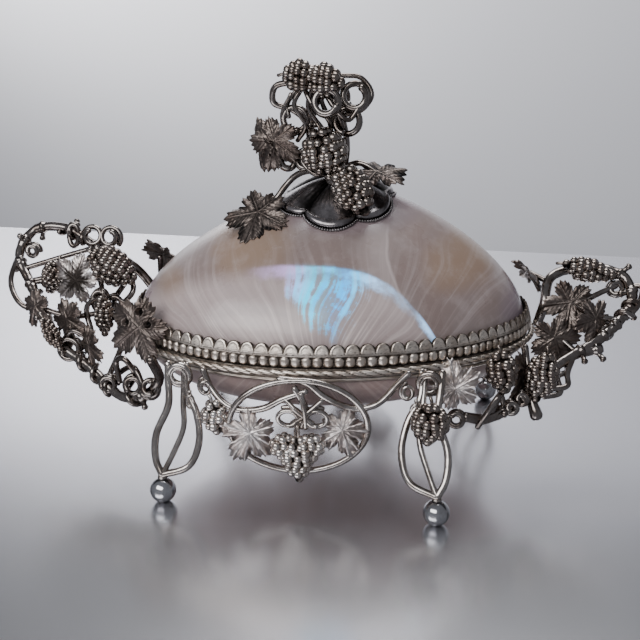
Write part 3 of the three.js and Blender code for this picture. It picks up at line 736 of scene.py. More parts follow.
@dataclass(frozen=True)
class Pearl:
    """The pearl finish of one valve: a mauve ground with patches, clouds, streaks and lines, and on
    the lid painted light: a painted reflection, a painted highlight arc and painted iridescent sheen.
    """

    ground: Colour = (0.245, 0.182, 0.166, 1)
    cloud: Colour = (0.27, 0.215, 0.205, 1)
    pale: Colour = (0.52, 0.44, 0.43, 1)
    patches: tuple[Patch, ...] = ()
    edges: tuple[OldEdge, ...] = ()
    paints_light: bool = False
    root: tuple[float, float, float] = (6.0, 0.0, 22.0)
    # Colours of the painted reflection and of its darker and brighter streaks, the tint of the painted
    # highlight, the strength of the painted glowing and the colours of the painted iridescent sheen.
    reflection_ground: Colour = (0.68, 0.57, 0.56, 1)
    reflection_shade: Colour = (0.40, 0.3, 0.29, 1)
    reflection_streak: Colour = (0.92, 0.8, 0.75, 1)
    highlight_tint: Colour = (0.6, 0.8, 1.0, 1)
    painted_glow: float = 1.45
    sheen_hues: tuple[tuple[float, Colour], ...] = (
        (0.0, (0.52, 0.34, 0.75, 1)), (0.14, (0.22, 0.5, 0.9, 1)), (0.32, (0.0, 0.6, 0.9, 1)),
        (0.55, (0.0, 0.4, 1.0, 1)), (0.78, (0.06, 0.55, 1.0, 1)), (1.0, (0.3, 0.55, 0.9, 1)),
    )

    def build(self, name: str, growth: bpy.types.NodeTree, arc: bpy.types.NodeTree) -> bpy.types.Material:
        """Makes the material.

        Args:
            name: Its name.
            growth: The growth group.
            arc: The group of painted light on the lid.

        Returns:
            The material.
        """
        material, board, shader, where = new_material(name)
        grown = board.outputs("ShaderNodeGroup", {"Vector": where, "Root": self.root}, node_tree=growth)
        colour = board.mix(board.ramp(grown["Clouds"], 0.4, 0.65), self.ground, self.cloud)
        for patch in self.patches:
            colour = board.mix(patch.mask(board, grown), colour, patch.colour)
        streaks = board.ramp(grown["Streaks"], 0.46, 0.75) * board.ramp(grown["Z"], 86.0, 66.0, 0.06, 0.5)
        colour = board.mix(streaks, colour, self.pale)
        colour = board.mix(board.ramp(grown["Flecks"], 0.45, 0.7, 0.0, 0.22), colour, self.pale)
        for edge in self.edges:
            colour = board.mix(edge.mask(board, grown), colour, self.pale)
        # Only the lid gets painted light: reflection, highlight arc and iridescent sheen.
        if self.paints_light:
            colour = self.add_painted_light(board, arc, grown, colour, shader)
        bump = board.outputs("ShaderNodeBump", {"Strength": 0.1, "Distance": 0.0003,
                                                "Height": grown["Streaks"]})
        board.feed(shader, {
            "Base Color": colour, "Roughness": board.ramp(grown["Clouds"], 0.3, 0.7, 0.22, 0.36),
            "Normal": bump["Normal"], "Coat Weight": 0.4, "Coat Roughness": 0.16})
        return material

    def add_painted_light(self, board: NodeBoard, arc: bpy.types.NodeTree, grown: dict[str, Term], colour: Term,
                 shader: bpy.types.Node) -> Term:
        """Paints light into the colour: a painted reflection below the arc, a painted highlight along it
        and painted iridescent sheen, and lets the highlight and sheen emit a little light though they are no
        lamp.

        Args:
            board: The material's board.
            arc: The group of painted light on the lid.
            grown: The growth group's outputs.
            colour: Colour so far.
            shader: The material's shader.

        Returns:
            The colour with the painted light.
        """
        lights = board.outputs("ShaderNodeGroup", {key: grown[key] for key in GROWTH}, node_tree=arc)
        node = board.add("ShaderNodeValToRGB", {"Fac": lights["Hue"]})
        stops = node.color_ramp.elements
        stops[0].color, stops[-1].color = self.sheen_hues[0][1], self.sheen_hues[-1][1]
        for spot, shade in self.sheen_hues[1:-1]:
            stops.new(spot).color = shade
        sheen_hue, streaks, flecks = Term(board, node.outputs[0]), grown["Streaks"], grown["Flecks"]
        # Painted reflection: a paler ground below the arc, with darker and brighter painted streaks.
        colour = board.mix(lights["Under"] * 0.55, colour, self.reflection_ground)
        colour = board.mix(board.ramp(streaks, 0.52, 0.32) * lights["Under"] * 0.5, colour, self.reflection_shade)
        low = board.ramp(grown["Z"], 66.0, 48.0, 0.15, 0.8)
        bright = board.ramp(streaks, 0.5, 0.68) * lights["Under"] * low
        colour = board.mix(bright, colour, self.reflection_streak)
        # Painted iridescent sheen in a patch inside the reflection.
        fine = board.ramp(streaks, 0.36, 0.62) + board.ramp(flecks, 0.4, 0.64)
        sheen_pool = lights["SheenPool"] * board.ramp(fine, 0.3, 1.25, 0.14, 1.0)
        colour = board.mix(sheen_pool, colour, sheen_hue)
        # Painted highlight along the arc, tinted.
        fade = board.ramp(grown["X"], 18.0, 29.0, 1.0, 0.25) + board.ramp(grown["X"], 32.0, 36.0, 0.0, 0.7)
        speckled = lights["Arc"] * board.ramp(flecks, 0.35, 0.6, 0.45, 1.0)
        shine = board.math("MULTIPLY", speckled, fade, clamp=True)
        colour = board.mix(shine, colour, board.mix(0.2, sheen_hue, self.highlight_tint))
        # Painted glowing: the sheen and the highlight emit light though they are no lamp.
        painted_glow = board.mix(board.math("MAXIMUM", sheen_pool, shine), (0, 0, 0, 1), sheen_hue)
        board.feed(shader, {"Emission Color": painted_glow, "Emission Strength": self.painted_glow})
        return colour


TAN, LILAC, CREAM = (0.30, 0.205, 0.145, 1), (0.25, 0.195, 0.24, 1), (0.78, 0.66, 0.6, 1)
PEARLS = {
    # The lid's pearl also carries painted light: a reflection, a highlight arc and iridescent sheen.
    "lid": Pearl(
        patches=(Patch((-26, 79), (19, 11), TAN, 0.9), Patch((49, 74), (17, 11), TAN, 0.8),
                 Patch((-52, 64), (9, 7), TAN), Patch((-70, 58), (14, 12), LILAC, 1.0),
                 Patch((68, 56), (10, 14), LILAC, 0.8), Patch((10, 88), (30, 6), LILAC, 0.5),
                 Patch((-15, 57), (18, 5), CREAM, 0.85)),
        edges=(OldEdge((21.3, 85.0), 0.0193, 56.0, 0.8), OldEdge((-54.0, 61.0), 0.26, 52.0, 0.7)), paints_light=True),
    "bowl": Pearl((0.46, 0.33, 0.305, 1), (0.34, 0.255, 0.25, 1), (0.75, 0.62, 0.59, 1),
                  root=(0.0, 0.0, 60.0)),
}
SILVERS = {
    "band": Silver((0.86, 0.775, 0.69, 1), (0.58, 0.49, 0.415, 1), (0.06, 0.047, 0.038, 1),
                   polish=0.3, dull=0.55),
    "wire": Silver((0.27, 0.243, 0.228, 1), (0.14, 0.114, 0.1, 1), polish=0.18, dull=0.42, bump=0.14),
    "bright_wire": Silver((0.5, 0.46, 0.435, 1), (0.28, 0.24, 0.215, 1), polish=0.18, dull=0.4, bump=0.12),
    "leaf": Silver((0.195, 0.162, 0.145, 1), (0.108, 0.083, 0.073, 1), polish=0.36, dull=0.62, bump=0.4),
    "bright_leaf": Silver((0.74, 0.69, 0.67, 1), (0.46, 0.40, 0.375, 1), (0.06, 0.05, 0.045, 1), polish=0.3,
                          dull=0.6, bump=0.6, lift=0.0002),
    "berry": Silver((0.33, 0.29, 0.262, 1), (0.19, 0.153, 0.132, 1), (0.012, 0.01, 0.009, 1), polish=0.2),
    "bright_berry": Silver((0.76, 0.71, 0.67, 1), (0.5, 0.43, 0.385, 1), (0.03, 0.025, 0.022, 1), polish=0.2),
    "cup": Silver((0.36, 0.335, 0.34, 1), (0.12, 0.108, 0.108, 1), polish=0.24, dull=0.45),
    "ball": Silver((0.52, 0.52, 0.54, 1), (0.36, 0.35, 0.36, 1),
                   depth=0.9, polish=0.16, dull=0.36, bump=0.15),
}


def build_finishes() -> Finishes:
    """Builds every material of the box once.

    Returns:
        The materials by finish.
    """
    tarnish, growth, arc = tarnish_group(), growth_group(), painted_light_group()
    finishes = {f"{key}_pearl": pearl.build(f"{key}_pearl", growth, arc) for key, pearl in PEARLS.items()}
    return finishes | {key: silver.build(f"{key}_silver", tarnish) for key, silver in SILVERS.items()}


@dataclass
class ShellBody:
    """The two pearl valves and the silver bands that hold them."""

    finishes: Finishes
    around: int = 288
    stacks: int = 60
    scallops: int = 90
    scallop_foot: float = 4.45
    scallop_rise: float = 3.2
    beads: int = 126
    bead_columns: int = 10
    collar_around: int = 360
    rope_strands: int = 3
    rope_passes: int = 108
    rope_stations: int = 1440
    rope_sides: int = 15

    def valve(self, height: Callable[[np.ndarray, float], np.ndarray], peak: tuple[float, float]) -> Skin:
        """Closed wall: an outer surface from the peak to the edge and an inner one back.

        Each ring is the inset plan outline drawn in towards the peak by the sine of its place.

        Args:
            height: Height at a share of the radius and a depth into the wall.
            peak: Place in plan that the rings shrink to.

        Returns:
            The wall.
        """
        through = np.linspace(0, 1, 2 * self.stacks + 1)[:, None]
        share = np.sin(np.minimum(through, 1 - through) * math.pi)
        outer = through <= 0.5
        angle = ring_angles(self.around)
        inset = PLAN.inset + np.where(outer, 0.0, PLAN.wall)
        edge = PLAN.rim(angle[None, :], -inset, 0.0)
        middle = np.array([*peak, 0.0])
        points = middle + (edge - middle) * share[..., None]
        points[..., 2] = np.where(outer, height(share, 0.0), height(share, PLAN.wall))
        skin = Skin()
        skin.grid(points)
        return skin

    def lid(self) -> None:
        """Builds the lid's shell: the peaked dome curve over shrinking plan outlines."""
        def height(share: np.ndarray, wall: float) -> np.ndarray:
            """Height of the dome's face, so far under its outside."""
            return PLAN.dome_base + (PLAN.dome_rise - wall) * PLAN.dome_share(share)
        self.valve(height, PLAN.peak).finish("pearl_lid", self.finishes["lid_pearl"], Slot.PEARL, "lid_shell")

    def bowl(self) -> None:
        """Builds the bowl's shell: half an ellipsoid under the collar."""
        top = PLAN.seam - 2 * PLAN.seat - PLAN.collar_height / 2

        def height(share: np.ndarray, wall: float) -> np.ndarray:
            """Height of the bowl's face, so far over its outside."""
            return top - (PLAN.bowl_drop - wall) * np.sqrt(1 - share * share)
        valve = self.valve(height, (0.0, 0.0))
        valve.finish("pearl_bowl", self.finishes["bowl_pearl"], Slot.PEARL, "bowl_shell")

    def lid_band(self) -> None:
        """Builds the lid's band: a ledge, a row of upright oval beads, fine lines and arched scallops.

        A section runs round the rim. Its bead rows swell like half ellipsoids that repeat with the
        angle, and its top rows follow arches whose height falls to a notch between each two.
        """
        count = self.bead_columns * self.beads
        angle = ring_angles(count)
        bead = (np.arange(count) % self.bead_columns + 0.5) / (self.bead_columns / 2) - 1
        step = count // self.scallops
        arch_at = (np.arange(count) % step - (step - 1) / 2) / (step / 2)
        arch = np.sqrt(np.clip(1 - 0.8 * np.abs(arch_at) ** 2.4, 0, 1))
        base, rows, shades = PLAN.seam, [], []

        def row(out: np.ndarray | float, z: np.ndarray | float, shade: np.ndarray | float) -> None:
            """Adds one ring of the section."""
            rows.append(PLAN.rim(angle, out, base + z))
            shades.append(np.broadcast_to(shade, count))

        row(-PLAN.lip - PLAN.ledge, 0.0, 0.8)
        row(0.1, 0.0, 0.9)
        for z in np.linspace(0.12, 3.62, 15):
            swell = np.clip(1 - (bead / 0.9) ** 2 - np.abs((z - 1.85) / 1.76) ** 2.6, 0, 1) ** 0.45
            row(0.3 + 0.85 * swell, z, 0.85 - 1.05 * swell)
        for z, out, shade in ((3.75, 0.35, 0.6), (3.92, 0.72, 0.0), (4.08, 0.5, 0.6), (4.24, 0.7, 0.0),
                              (4.42, 0.4, 0.55)):
            row(out, z, shade)
        for up in np.linspace(0.08, 1, 10):
            z = self.scallop_foot + self.scallop_rise * up * arch
            lean = 0.4 - 1.1 * up * arch
            edge = np.hypot(arch_at, 0.95 * up * arch)
            pillow = np.sqrt(np.clip(1 - edge**2, 0, 1))
            border = np.exp(-((edge - 0.84) / 0.09) ** 2)
            row(lean + 0.3 * pillow + 0.16 * border, z,
                np.clip(0.5 - 0.28 * pillow - 0.3 * border + 0.7 * edge**14, 0, 1))
        for up in (0.95, 0.6, 0.3):
            row(-0.55 - 0.8 * up * arch, self.scallop_foot + self.scallop_rise * up * arch, 0.9)
        row(-PLAN.lip, PLAN.bead_height - PLAN.seat, 0.9)
        row(-PLAN.lip - PLAN.ledge, PLAN.bead_height - PLAN.seat, 0.8)
        skin = Skin()
        grime = np.random.default_rng(2).normal(0, 0.13, (len(rows), count // 2)).repeat(2, axis=1)
        skin.grid(np.stack(rows), np.clip(np.stack(shades) + grime, 0, 1), wrap_rows=True)
        skin.finish("lid_band", self.finishes["band"], Slot.OXIDISED, "lid_rim")

    def collar(self) -> None:
        """Builds the bowl's collar: a plain rounded band with a fine groove, open inside."""
        angle = ring_angles(self.collar_around)
        top = PLAN.seam - PLAN.seat
        low = top - PLAN.collar_height
        mid = top - PLAN.collar_height / 2
        section = [(-PLAN.lip - PLAN.collar_ledge, top, 0.5), (-PLAN.lip - PLAN.collar_ledge, mid, 0.5),
                   (-PLAN.lip, mid, 0.8), (-PLAN.lip, low, 0.8), (-0.9, low - 0.15, 0.2), (-0.35, low, 0.1),
                   (-0.05, low + 0.5, 0.1), (0.0, low + 1.1, 0.3), (-0.25, low + 1.3, 0.9),
                   (0.0, low + 1.5, 0.4), (0.0, top - 0.3, 0.7), (-0.3, top, 0.7)]
        rows = np.stack([PLAN.rim(angle, out, z) for out, z, _ in section])
        skin = Skin()
        skin.grid(rows, np.array([[shade] for *_, shade in section]), wrap_rows=True)
        skin.finish("bowl_collar", self.finishes["band"], Slot.OXIDISED, "bowl_rim")

    def rope(self) -> None:
        """Builds the twisted wire: a section of round strands that turns as it goes round the rim.

        The section's radius at an angle is that of the strand nearest to it, and the angle moves on
        with the place round the rim by a whole number of turns.
        """
        place, a = ring_angles(self.rope_stations), ring_angles(self.rope_sides)
        phase = a[None, :] + place[:, None] * self.rope_passes / self.rope_strands
        strand = np.abs(((phase * self.rope_strands / TAU) % 1) - 0.5) * 2
        bulge = np.sqrt(np.clip(1 - (1 - strand) ** 2 * 0.98, 0, 1))
        radius = PLAN.rope_radius * (0.62 + 0.42 * bulge)
        out = PLAN.rope_out + radius * np.cos(a)[None, :]
        z = PLAN.rope_height + radius * np.sin(a)[None, :]
        points = PLAN.rim(place[:, None], out, z)
        skin = Skin()
        skin.grid(points, 1 - bulge**1.5, wrap_rows=True)
        skin.finish("rope_wire", self.finishes["band"], Slot.OXIDISED, "rope_edge")

    def build(self) -> None:
        """Builds both shells and the three bands."""
        self.lid()
        self.bowl()
        self.lid_band()
        self.collar()
        self.rope()


@dataclass(frozen=True)
class VineLeaf:
    """A cast vine leaf: five toothed lobes round a heart-shaped blade, with raised veins."""

    pose: Pose
    size: float
    curl: float = -0.12
    eyes: tuple[tuple[float, float], ...] = ()
    centre: float = 0.0
    lobes: int = 5
    teeth: int = 7
    around: int = 350
    rings: int = 16
    thickness: float = 0.8
    ruffle: float = 0.06
    waves: int = 2
    # Base recess of the blade: 0.62 is its patina; higher values darken the whole leaf as painted shade.
    dark: float = 0.62
    rests_on: Callable[[np.ndarray, np.ndarray], np.ndarray] | None = None

    def relief(self, angle: np.ndarray, reach: np.ndarray) -> np.ndarray:
        """Height of the veins: a ridge down each lobe and fine ribs that slant off it.

        Args:
            angle: Angle round the blade.
            reach: Distance from its middle.

        Returns:
            Height at each place.
        """
        lobe = TAU / self.lobes
        off = (angle + lobe / 2) % lobe - lobe / 2
        along, across = reach * np.cos(off), np.abs(reach * np.sin(off))
        ridge = np.exp(-(across / 0.3) ** 2) * 0.38
        wave = np.abs(((along - 0.75 * across) / 1.5) % 1 - 0.5) * 2
        rib = (wave**3 - 0.3) * 0.24 * np.clip(across / 0.5, 0, 1)
        puff = np.sin(np.clip(across / (0.3 * self.size), 0, 1) * math.pi) * 0.03 * self.size
        return ridge + rib + puff

    def outline(self, a: np.ndarray) -> np.ndarray:
        """Share of the size that the edge reaches at each angle.

        It is a heart, times lobes that fall straight from their tips and steeply into narrow
        notches, times a saw of pointed teeth.

        Args:
            a: Angle round the blade.

        Returns:
            Share of the size at each angle.
        """
        off = np.abs((a * self.lobes / TAU + 0.5) % 1 - 0.5) * 2
        tooth = np.abs(((a * self.lobes * self.teeth / TAU) % 1) * 2 - 1)
        return (0.86 + 0.14 * np.cos(a)) * (1 - 0.2 * off - 0.26 * off**5) * (0.95 + 0.12 * tooth)

    def surface(self) -> tuple[np.ndarray, np.ndarray]:
        """Points and recess values of the blade's front and back, as rings out from the middle and
        back in. The blade droops with the square of its reach and ruffles towards the edge.

        Returns:
            Points in the leaf's frame, and recess values.
        """
        a = ring_angles(self.around)
        outline = self.outline(a)
        f = np.linspace(0, 1, self.rings) ** 0.85
        share = np.concatenate([f, f[::-1]])[:, None]
        front = np.repeat([1.0, -1.0], self.rings)[:, None]
        reach = share * outline[None, :] * self.size
        relief = self.relief(a[None, :], reach)
        rings, holes = np.zeros_like(relief), np.zeros_like(relief)
        for eye_angle, eye_share in self.eyes:
            ex, ey = math.radians(eye_angle), eye_share * self.size
            away = np.hypot(reach * np.cos(a) - ey * math.cos(ex), reach * np.sin(a) - ey * math.sin(ex))
            rings += np.exp(-((away - 1.65) / 0.5) ** 2)
            holes += np.exp(-(away / 0.85) ** 2)
        droop = self.curl * (outline**2)[None, :] * self.size * share**1.6
        ripple = self.ruffle * self.size * share**2 * np.cos(self.waves * self.lobes * a + 1.3)[None, :]
        wide = self.thickness / 2 * (1 - 0.55 * share**5)
        rise = (relief * (1 - holes) + 0.9 * rings - 0.5 * holes) * (1 - share**8)
        rise = rise * np.where(front > 0, 1.0, 0.55)
        z = droop + ripple + rise + front * wide
        points = np.stack([-reach * np.sin(a), reach * np.cos(a), z], axis=-1)
        # The base recess is patina, raised on some leaves as painted shade.
        recess = self.dark - 2.2 * relief - 0.9 * rings + 1.6 * holes + self.centre * (1 - share) ** 1.4
        recess = np.clip(recess - 0.35 * share**6, 0, 1) * np.where(front > 0, 1.0, 0.8)
        return points, recess

    def add_to(self, skin: Skin) -> None:
        """Adds the leaf to a piece, lifted where it would sink into what it rests on."""
        points, recess = self.surface()
        points = self.pose.place(points)
        if self.rests_on:
            sunk = self.rests_on(points[..., 0], points[..., 1]) + 0.35 - points[..., 2]
            points[..., 2] += np.maximum(0, np.maximum(sunk, sunk[::-1]))
        skin.grid(points, recess)


HEART = ((0.92, 0.62, 0.0, -0.04), (0.5, 0.52, -0.26, 0.2), (0.5, 0.52, 0.26, 0.2))
PAIR = ((0.6, 0.95, 0.04, 0.2), (0.6, 1.0, -0.04, -0.2))


@dataclass(frozen=True)
class Bunch:
    """A bunch of grapes: staggered rows of berries on a tapering body."""

    pose: Pose
    length: float
    width: float
    depth: float = 0.8
    berry: float = 1.4
    bodies: tuple[tuple[float, float, float, float], ...] = ((1.0, 1.0, 0.0, 0.0),)
    seed: int = 1

    def rows(self, length: float, width: float, middle: tuple[float, float]) -> tuple[np.ndarray, np.ndarray]:
        """Berry centres and outward directions on one tapering body.

        Args:
            length: Length of the body.
            width: Its greatest width.
            middle: Its middle, right and up of the bunch's own.

        Returns:
            Centres and unit vectors in the bunch's frame.
        """
        rng = np.random.default_rng(self.seed)
        count = max(3, round(length / (1.6 * self.berry)))
        v = (np.arange(count) + 0.5) / count
        swell = np.sin(math.pi * v**0.85) ** 0.7 * width / 2
        parts = []
        for share, reach in zip(v, swell):
            core = max(reach - 0.85 * self.berry, 0.05)
            number = max(1, round(TAU * core * (1 + self.depth) / 2 / (1.74 * self.berry)))
            a = (np.arange(number) + rng.uniform()) / number * TAU + rng.uniform(-0.12, 0.12, number)
            out = np.stack([np.cos(a), np.full(number, (0.5 - share) * 0.8), np.sin(a) * self.depth], axis=1)
            spot = np.stack([core * np.cos(a), np.full(number, length * (0.5 - share)),
                             core * np.sin(a) * self.depth], axis=1)
            parts.append(np.stack([spot + rng.uniform(-0.22, 0.22, spot.shape), out], axis=1))
        both = np.concatenate(parts)
        centres = both[:, 0] + np.array([*middle, 0.0])
        return centres, unit(both[:, 1])

    def add_to(self, skin: Skin) -> None:
        """Adds the berries, the dark core inside them and the stalk to a piece."""
        rng = np.random.default_rng(self.seed + 7)
        origin = self.pose.place(np.zeros((1, 3)))
        for tall, broad, right, up in self.bodies:
            middle = (right * self.width, up * self.length)
            length, width = self.length * tall, self.width * broad
            centres, outward = self.rows(length, width, middle)
            size = self.berry * rng.uniform(1.02, 1.34, len(centres))
            skin.balls(self.pose.place(centres), size, self.pose.place(outward) - origin)
            v = np.linspace(0, 1, 9)[:, None]
            a = ring_angles(12)
            reach = np.sin(math.pi * v**0.85) ** 0.7 * max(width / 2 - 1.05 * self.berry, 0.3)
            core = np.stack([reach * np.cos(a) + middle[0], length * (0.47 - 0.94 * v) + 0 * a + middle[1],
                             reach * np.sin(a) * self.depth], axis=-1)
            skin.grid(self.pose.place(core), 1.0)
        top = self.length / 2
        stalk = np.array([[0, top * 0.7, 0], [0.3, top + 0.8, -0.2], [-0.2, top + 2.2, -0.8]])
        skin.tube(self.pose.place(smooth_path(stalk, 8)), np.linspace(0.45, 0.6, 8), 8, recess=0.3)


@dataclass(frozen=True)
class Wire:
    """A drawn wire along a smooth curve, a little uneven as work done by hand is."""

    points: Sequence[Point] | np.ndarray
    radius: float
    knots: tuple[float, ...] = ()

    def path(self) -> np.ndarray:
        """Evenly spaced points along the wire, more to the millimetre where it has knots."""
        rough = np.asarray(self.points, float)
        return smooth_path(rough, max(8, int(walked_length(rough)[-1] * (2.2 if self.knots else 1.3))))

    def add_to(self, skin: Skin, sides: int = 10) -> None:
        """Adds the wire, swollen at its knots by sharp-shouldered collars, to a piece."""
        path = self.path()
        t = np.linspace(0, 1, len(path))
        length = walked_length(path)[-1]
        radius = self.radius * (1 + 0.02 * np.sin(t * length * 0.5) + 0.015 * np.sin(t * length * 1.7 + 1))
        for knot in self.knots:
            away = (t - knot) * length
            radius = radius + self.radius * (0.42 * np.exp(-(away / 0.75) ** 2)
                                             + 0.16 * np.exp(-((away - 1.9) / 1.1) ** 2))
        skin.tube(path, radius, sides, recess=0.12)
        if self.knots:
            self.buds(skin, path)

    def buds(self, skin: Skin, path: np.ndarray) -> None:
        """Adds a short pruned shoot with a flared cut end at each knot."""
        _, side, lift = path_frames(path, False)
        for k, knot in enumerate(self.knots):
            i = min(int(knot * (len(path) - 1)), len(path) - 2)
            turn = 2.4 * k + 0.6
            way = side[i] * math.cos(turn) + lift[i] * math.sin(turn)
            along = path[i + 1] - path[i]
            way = way + 0.35 * along / (np.linalg.norm(along) + 1e-9)
            reach = self.radius * np.array([0.4, 1.3, 2.0, 2.35])[:, None]
            skin.tube(path[i] + way * reach, self.radius * np.array([0.62, 0.5, 0.55, 0.72]), 8, recess=0.2)


@dataclass(frozen=True)
class Curl:
    """A tendril wound in a flat spiral or a ring."""

    pose: Pose
    radius: float
    thick: float = 0.7
    turns: float = 1.25
    shrink: float = 0.35
    start: float = 0.0
    wide: float = 1.0
    high: float = 1.0

    def add_to(self, skin: Skin) -> None:
        """Adds the curl: its radius shrinks evenly with the angle while it climbs by its own
        thickness a turn; a curl of one turn that doesn't shrink is a closed ring."""
        count = max(14, int(26 * self.turns * math.sqrt(self.radius / 3)))
        closed = self.turns == 1 and self.shrink == 0
        t = np.arange(count) / count if closed else np.linspace(0, 1, count)
        a = math.radians(self.start) + t * self.turns * TAU
        r = self.radius * (1 - self.shrink * t)
        climb = np.zeros(count) if closed else (t - 0.5) * self.turns * self.thick * 1.8
        local = np.stack([r * np.cos(a) * self.wide, r * np.sin(a) * self.high, climb], axis=1)
        skin.tube(self.pose.place(local), self.thick, 9, closed=closed, recess=0.12)


def wound(path: np.ndarray, start: float, end: float, turns: float, out: float) -> np.ndarray:
    """Path of a tendril wound round another wire, as a helix in that wire's own frame.

    Args:
        path: Middle of the wire that carries it.
        start: Share of that wire where it begins.
        end: Share where it ends.
        turns: Times round.
        out: Distance from the wire's middle.

    Returns:
        Points along the tendril.
    """
    _, side, lift = path_frames(path, False)
    count = int(16 * turns)
    place = np.linspace(start, end, count) * (len(path) - 1)
    a = np.linspace(0, turns * TAU, count)[:, None]
    at, side, lift = (read_rows(place, np.arange(len(path)), rows) for rows in (path, side, lift))
    return at + out * (side * np.cos(a) + lift * np.sin(a))


@dataclass
class Leg:
    """One leg: a ring at the rope and three bowed wires that meet on a ball."""

    name: str
    side: int
    end: int
    top: float
    foot: float
    splay: float
    wire: float = 1.0
    ball: float = 4.3
    flat: float = 1.1
    bows: tuple[tuple[tuple[float, float], ...], ...] = (
        ((0, -4.5), (0.15, -3.5), (0.37, -2), (0.65, -4.4), (0.87, -3), (1, 0)),
        ((0, 1), (0.34, 2.8), (0.56, 4.4), (0.8, 2.4), (1, 0)),
        ((0, 2), (0.22, 3.2), (0.43, 7.9), (0.68, 10.4), (0.9, 8.4), (1, 0)),
    )

    def point(self, down: float, inward: float = 0.0) -> np.ndarray:
        """Place on the leg at a share of the way down, moved towards the middle of the box."""
        head = PLAN.beside(self.side, self.end * self.top, PLAN.outside_rope + self.wire + PLAN.seat,
                           PLAN.rope_height)
        ankle = PLAN.beside(self.side, self.end * self.foot, self.splay, 2 * self.ball + self.wire)
        return head + (ankle - head) * down + np.array([-self.end * inward, 0, 0])

    def build(self, finishes: Finishes) -> None:
        """Builds the wires with their ring and collar, and the ball."""
        skin = Skin()
        for k, bow in enumerate(self.bows):
            thick = self.wire * (1.25, 0.98, 1.2)[k]
            Wire([self.point(*spot) for spot in bow], thick).add_to(skin, 12)
        facing = 0 if self.side < 0 else 180
        for thick, radius, forward in ((1.2, 3.4, 0.0), (0.6, 2.5, 1.0)):
            at = self.point(0.1) + np.array([0, self.side * forward, 0])
            Curl(Pose(tuple(at), facing), radius, thick, 1, 0).add_to(skin)
        scroll = self.point(0.32, 5.2) + np.array([0, self.side * 0.6, 0])
        Curl(Pose(tuple(scroll), facing), 2.6, 0.6, 1.6, 0.6, 90, wide=0.6 * -self.end, high=1.2).add_to(skin)
        ankle = self.point(1.0)
        Curl(Pose((ankle[0], ankle[1], ankle[2] - 0.7), 0, 90), 1.1, 0.55, 1, 0).add_to(skin)
        skin.finish(f"wires_{self.name}", finishes["bright_wire"], Slot.OXIDISED, f"leg_{self.name}")
        self.build_ball(finishes)

    def build_ball(self, finishes: Finishes) -> None:
        """Builds the ball: circles of latitude from the small flat under it to its top."""
        low = math.asin(math.sqrt(1 - (self.flat / self.ball) ** 2))
        v = np.concatenate([[-math.pi / 2], np.linspace(-low, math.pi / 2, 30)])[:, None]
        a = ring_angles(48)
        centre = PLAN.beside(self.side, self.end * self.foot, self.splay, self.ball * math.sin(low))
        z = self.ball * np.maximum(np.sin(v), -math.sin(low))
        reach = self.ball * np.cos(v)
        points = np.stack([reach * np.cos(a), reach * np.sin(a), z + 0 * a], axis=-1) + centre
        recess = np.clip((np.sin(v) - 0.82) * 5, 0, 1) + np.clip((-0.8 - np.sin(v)) * 3, 0, 0.7) + 0 * a
        skin = Skin()
        skin.grid(points, recess)
        skin.finish(f"ball_{self.name}", finishes["ball"], Slot.POLISHED, f"foot_{self.name}")


def route(at: Callable[..., np.ndarray], spots: Sequence[Point]) -> np.ndarray:
    """Points of a wire: tuples are places that at reads, and arrays are points already."""
    return np.stack([spot if isinstance(spot, np.ndarray) else at(*spot) for spot in spots])


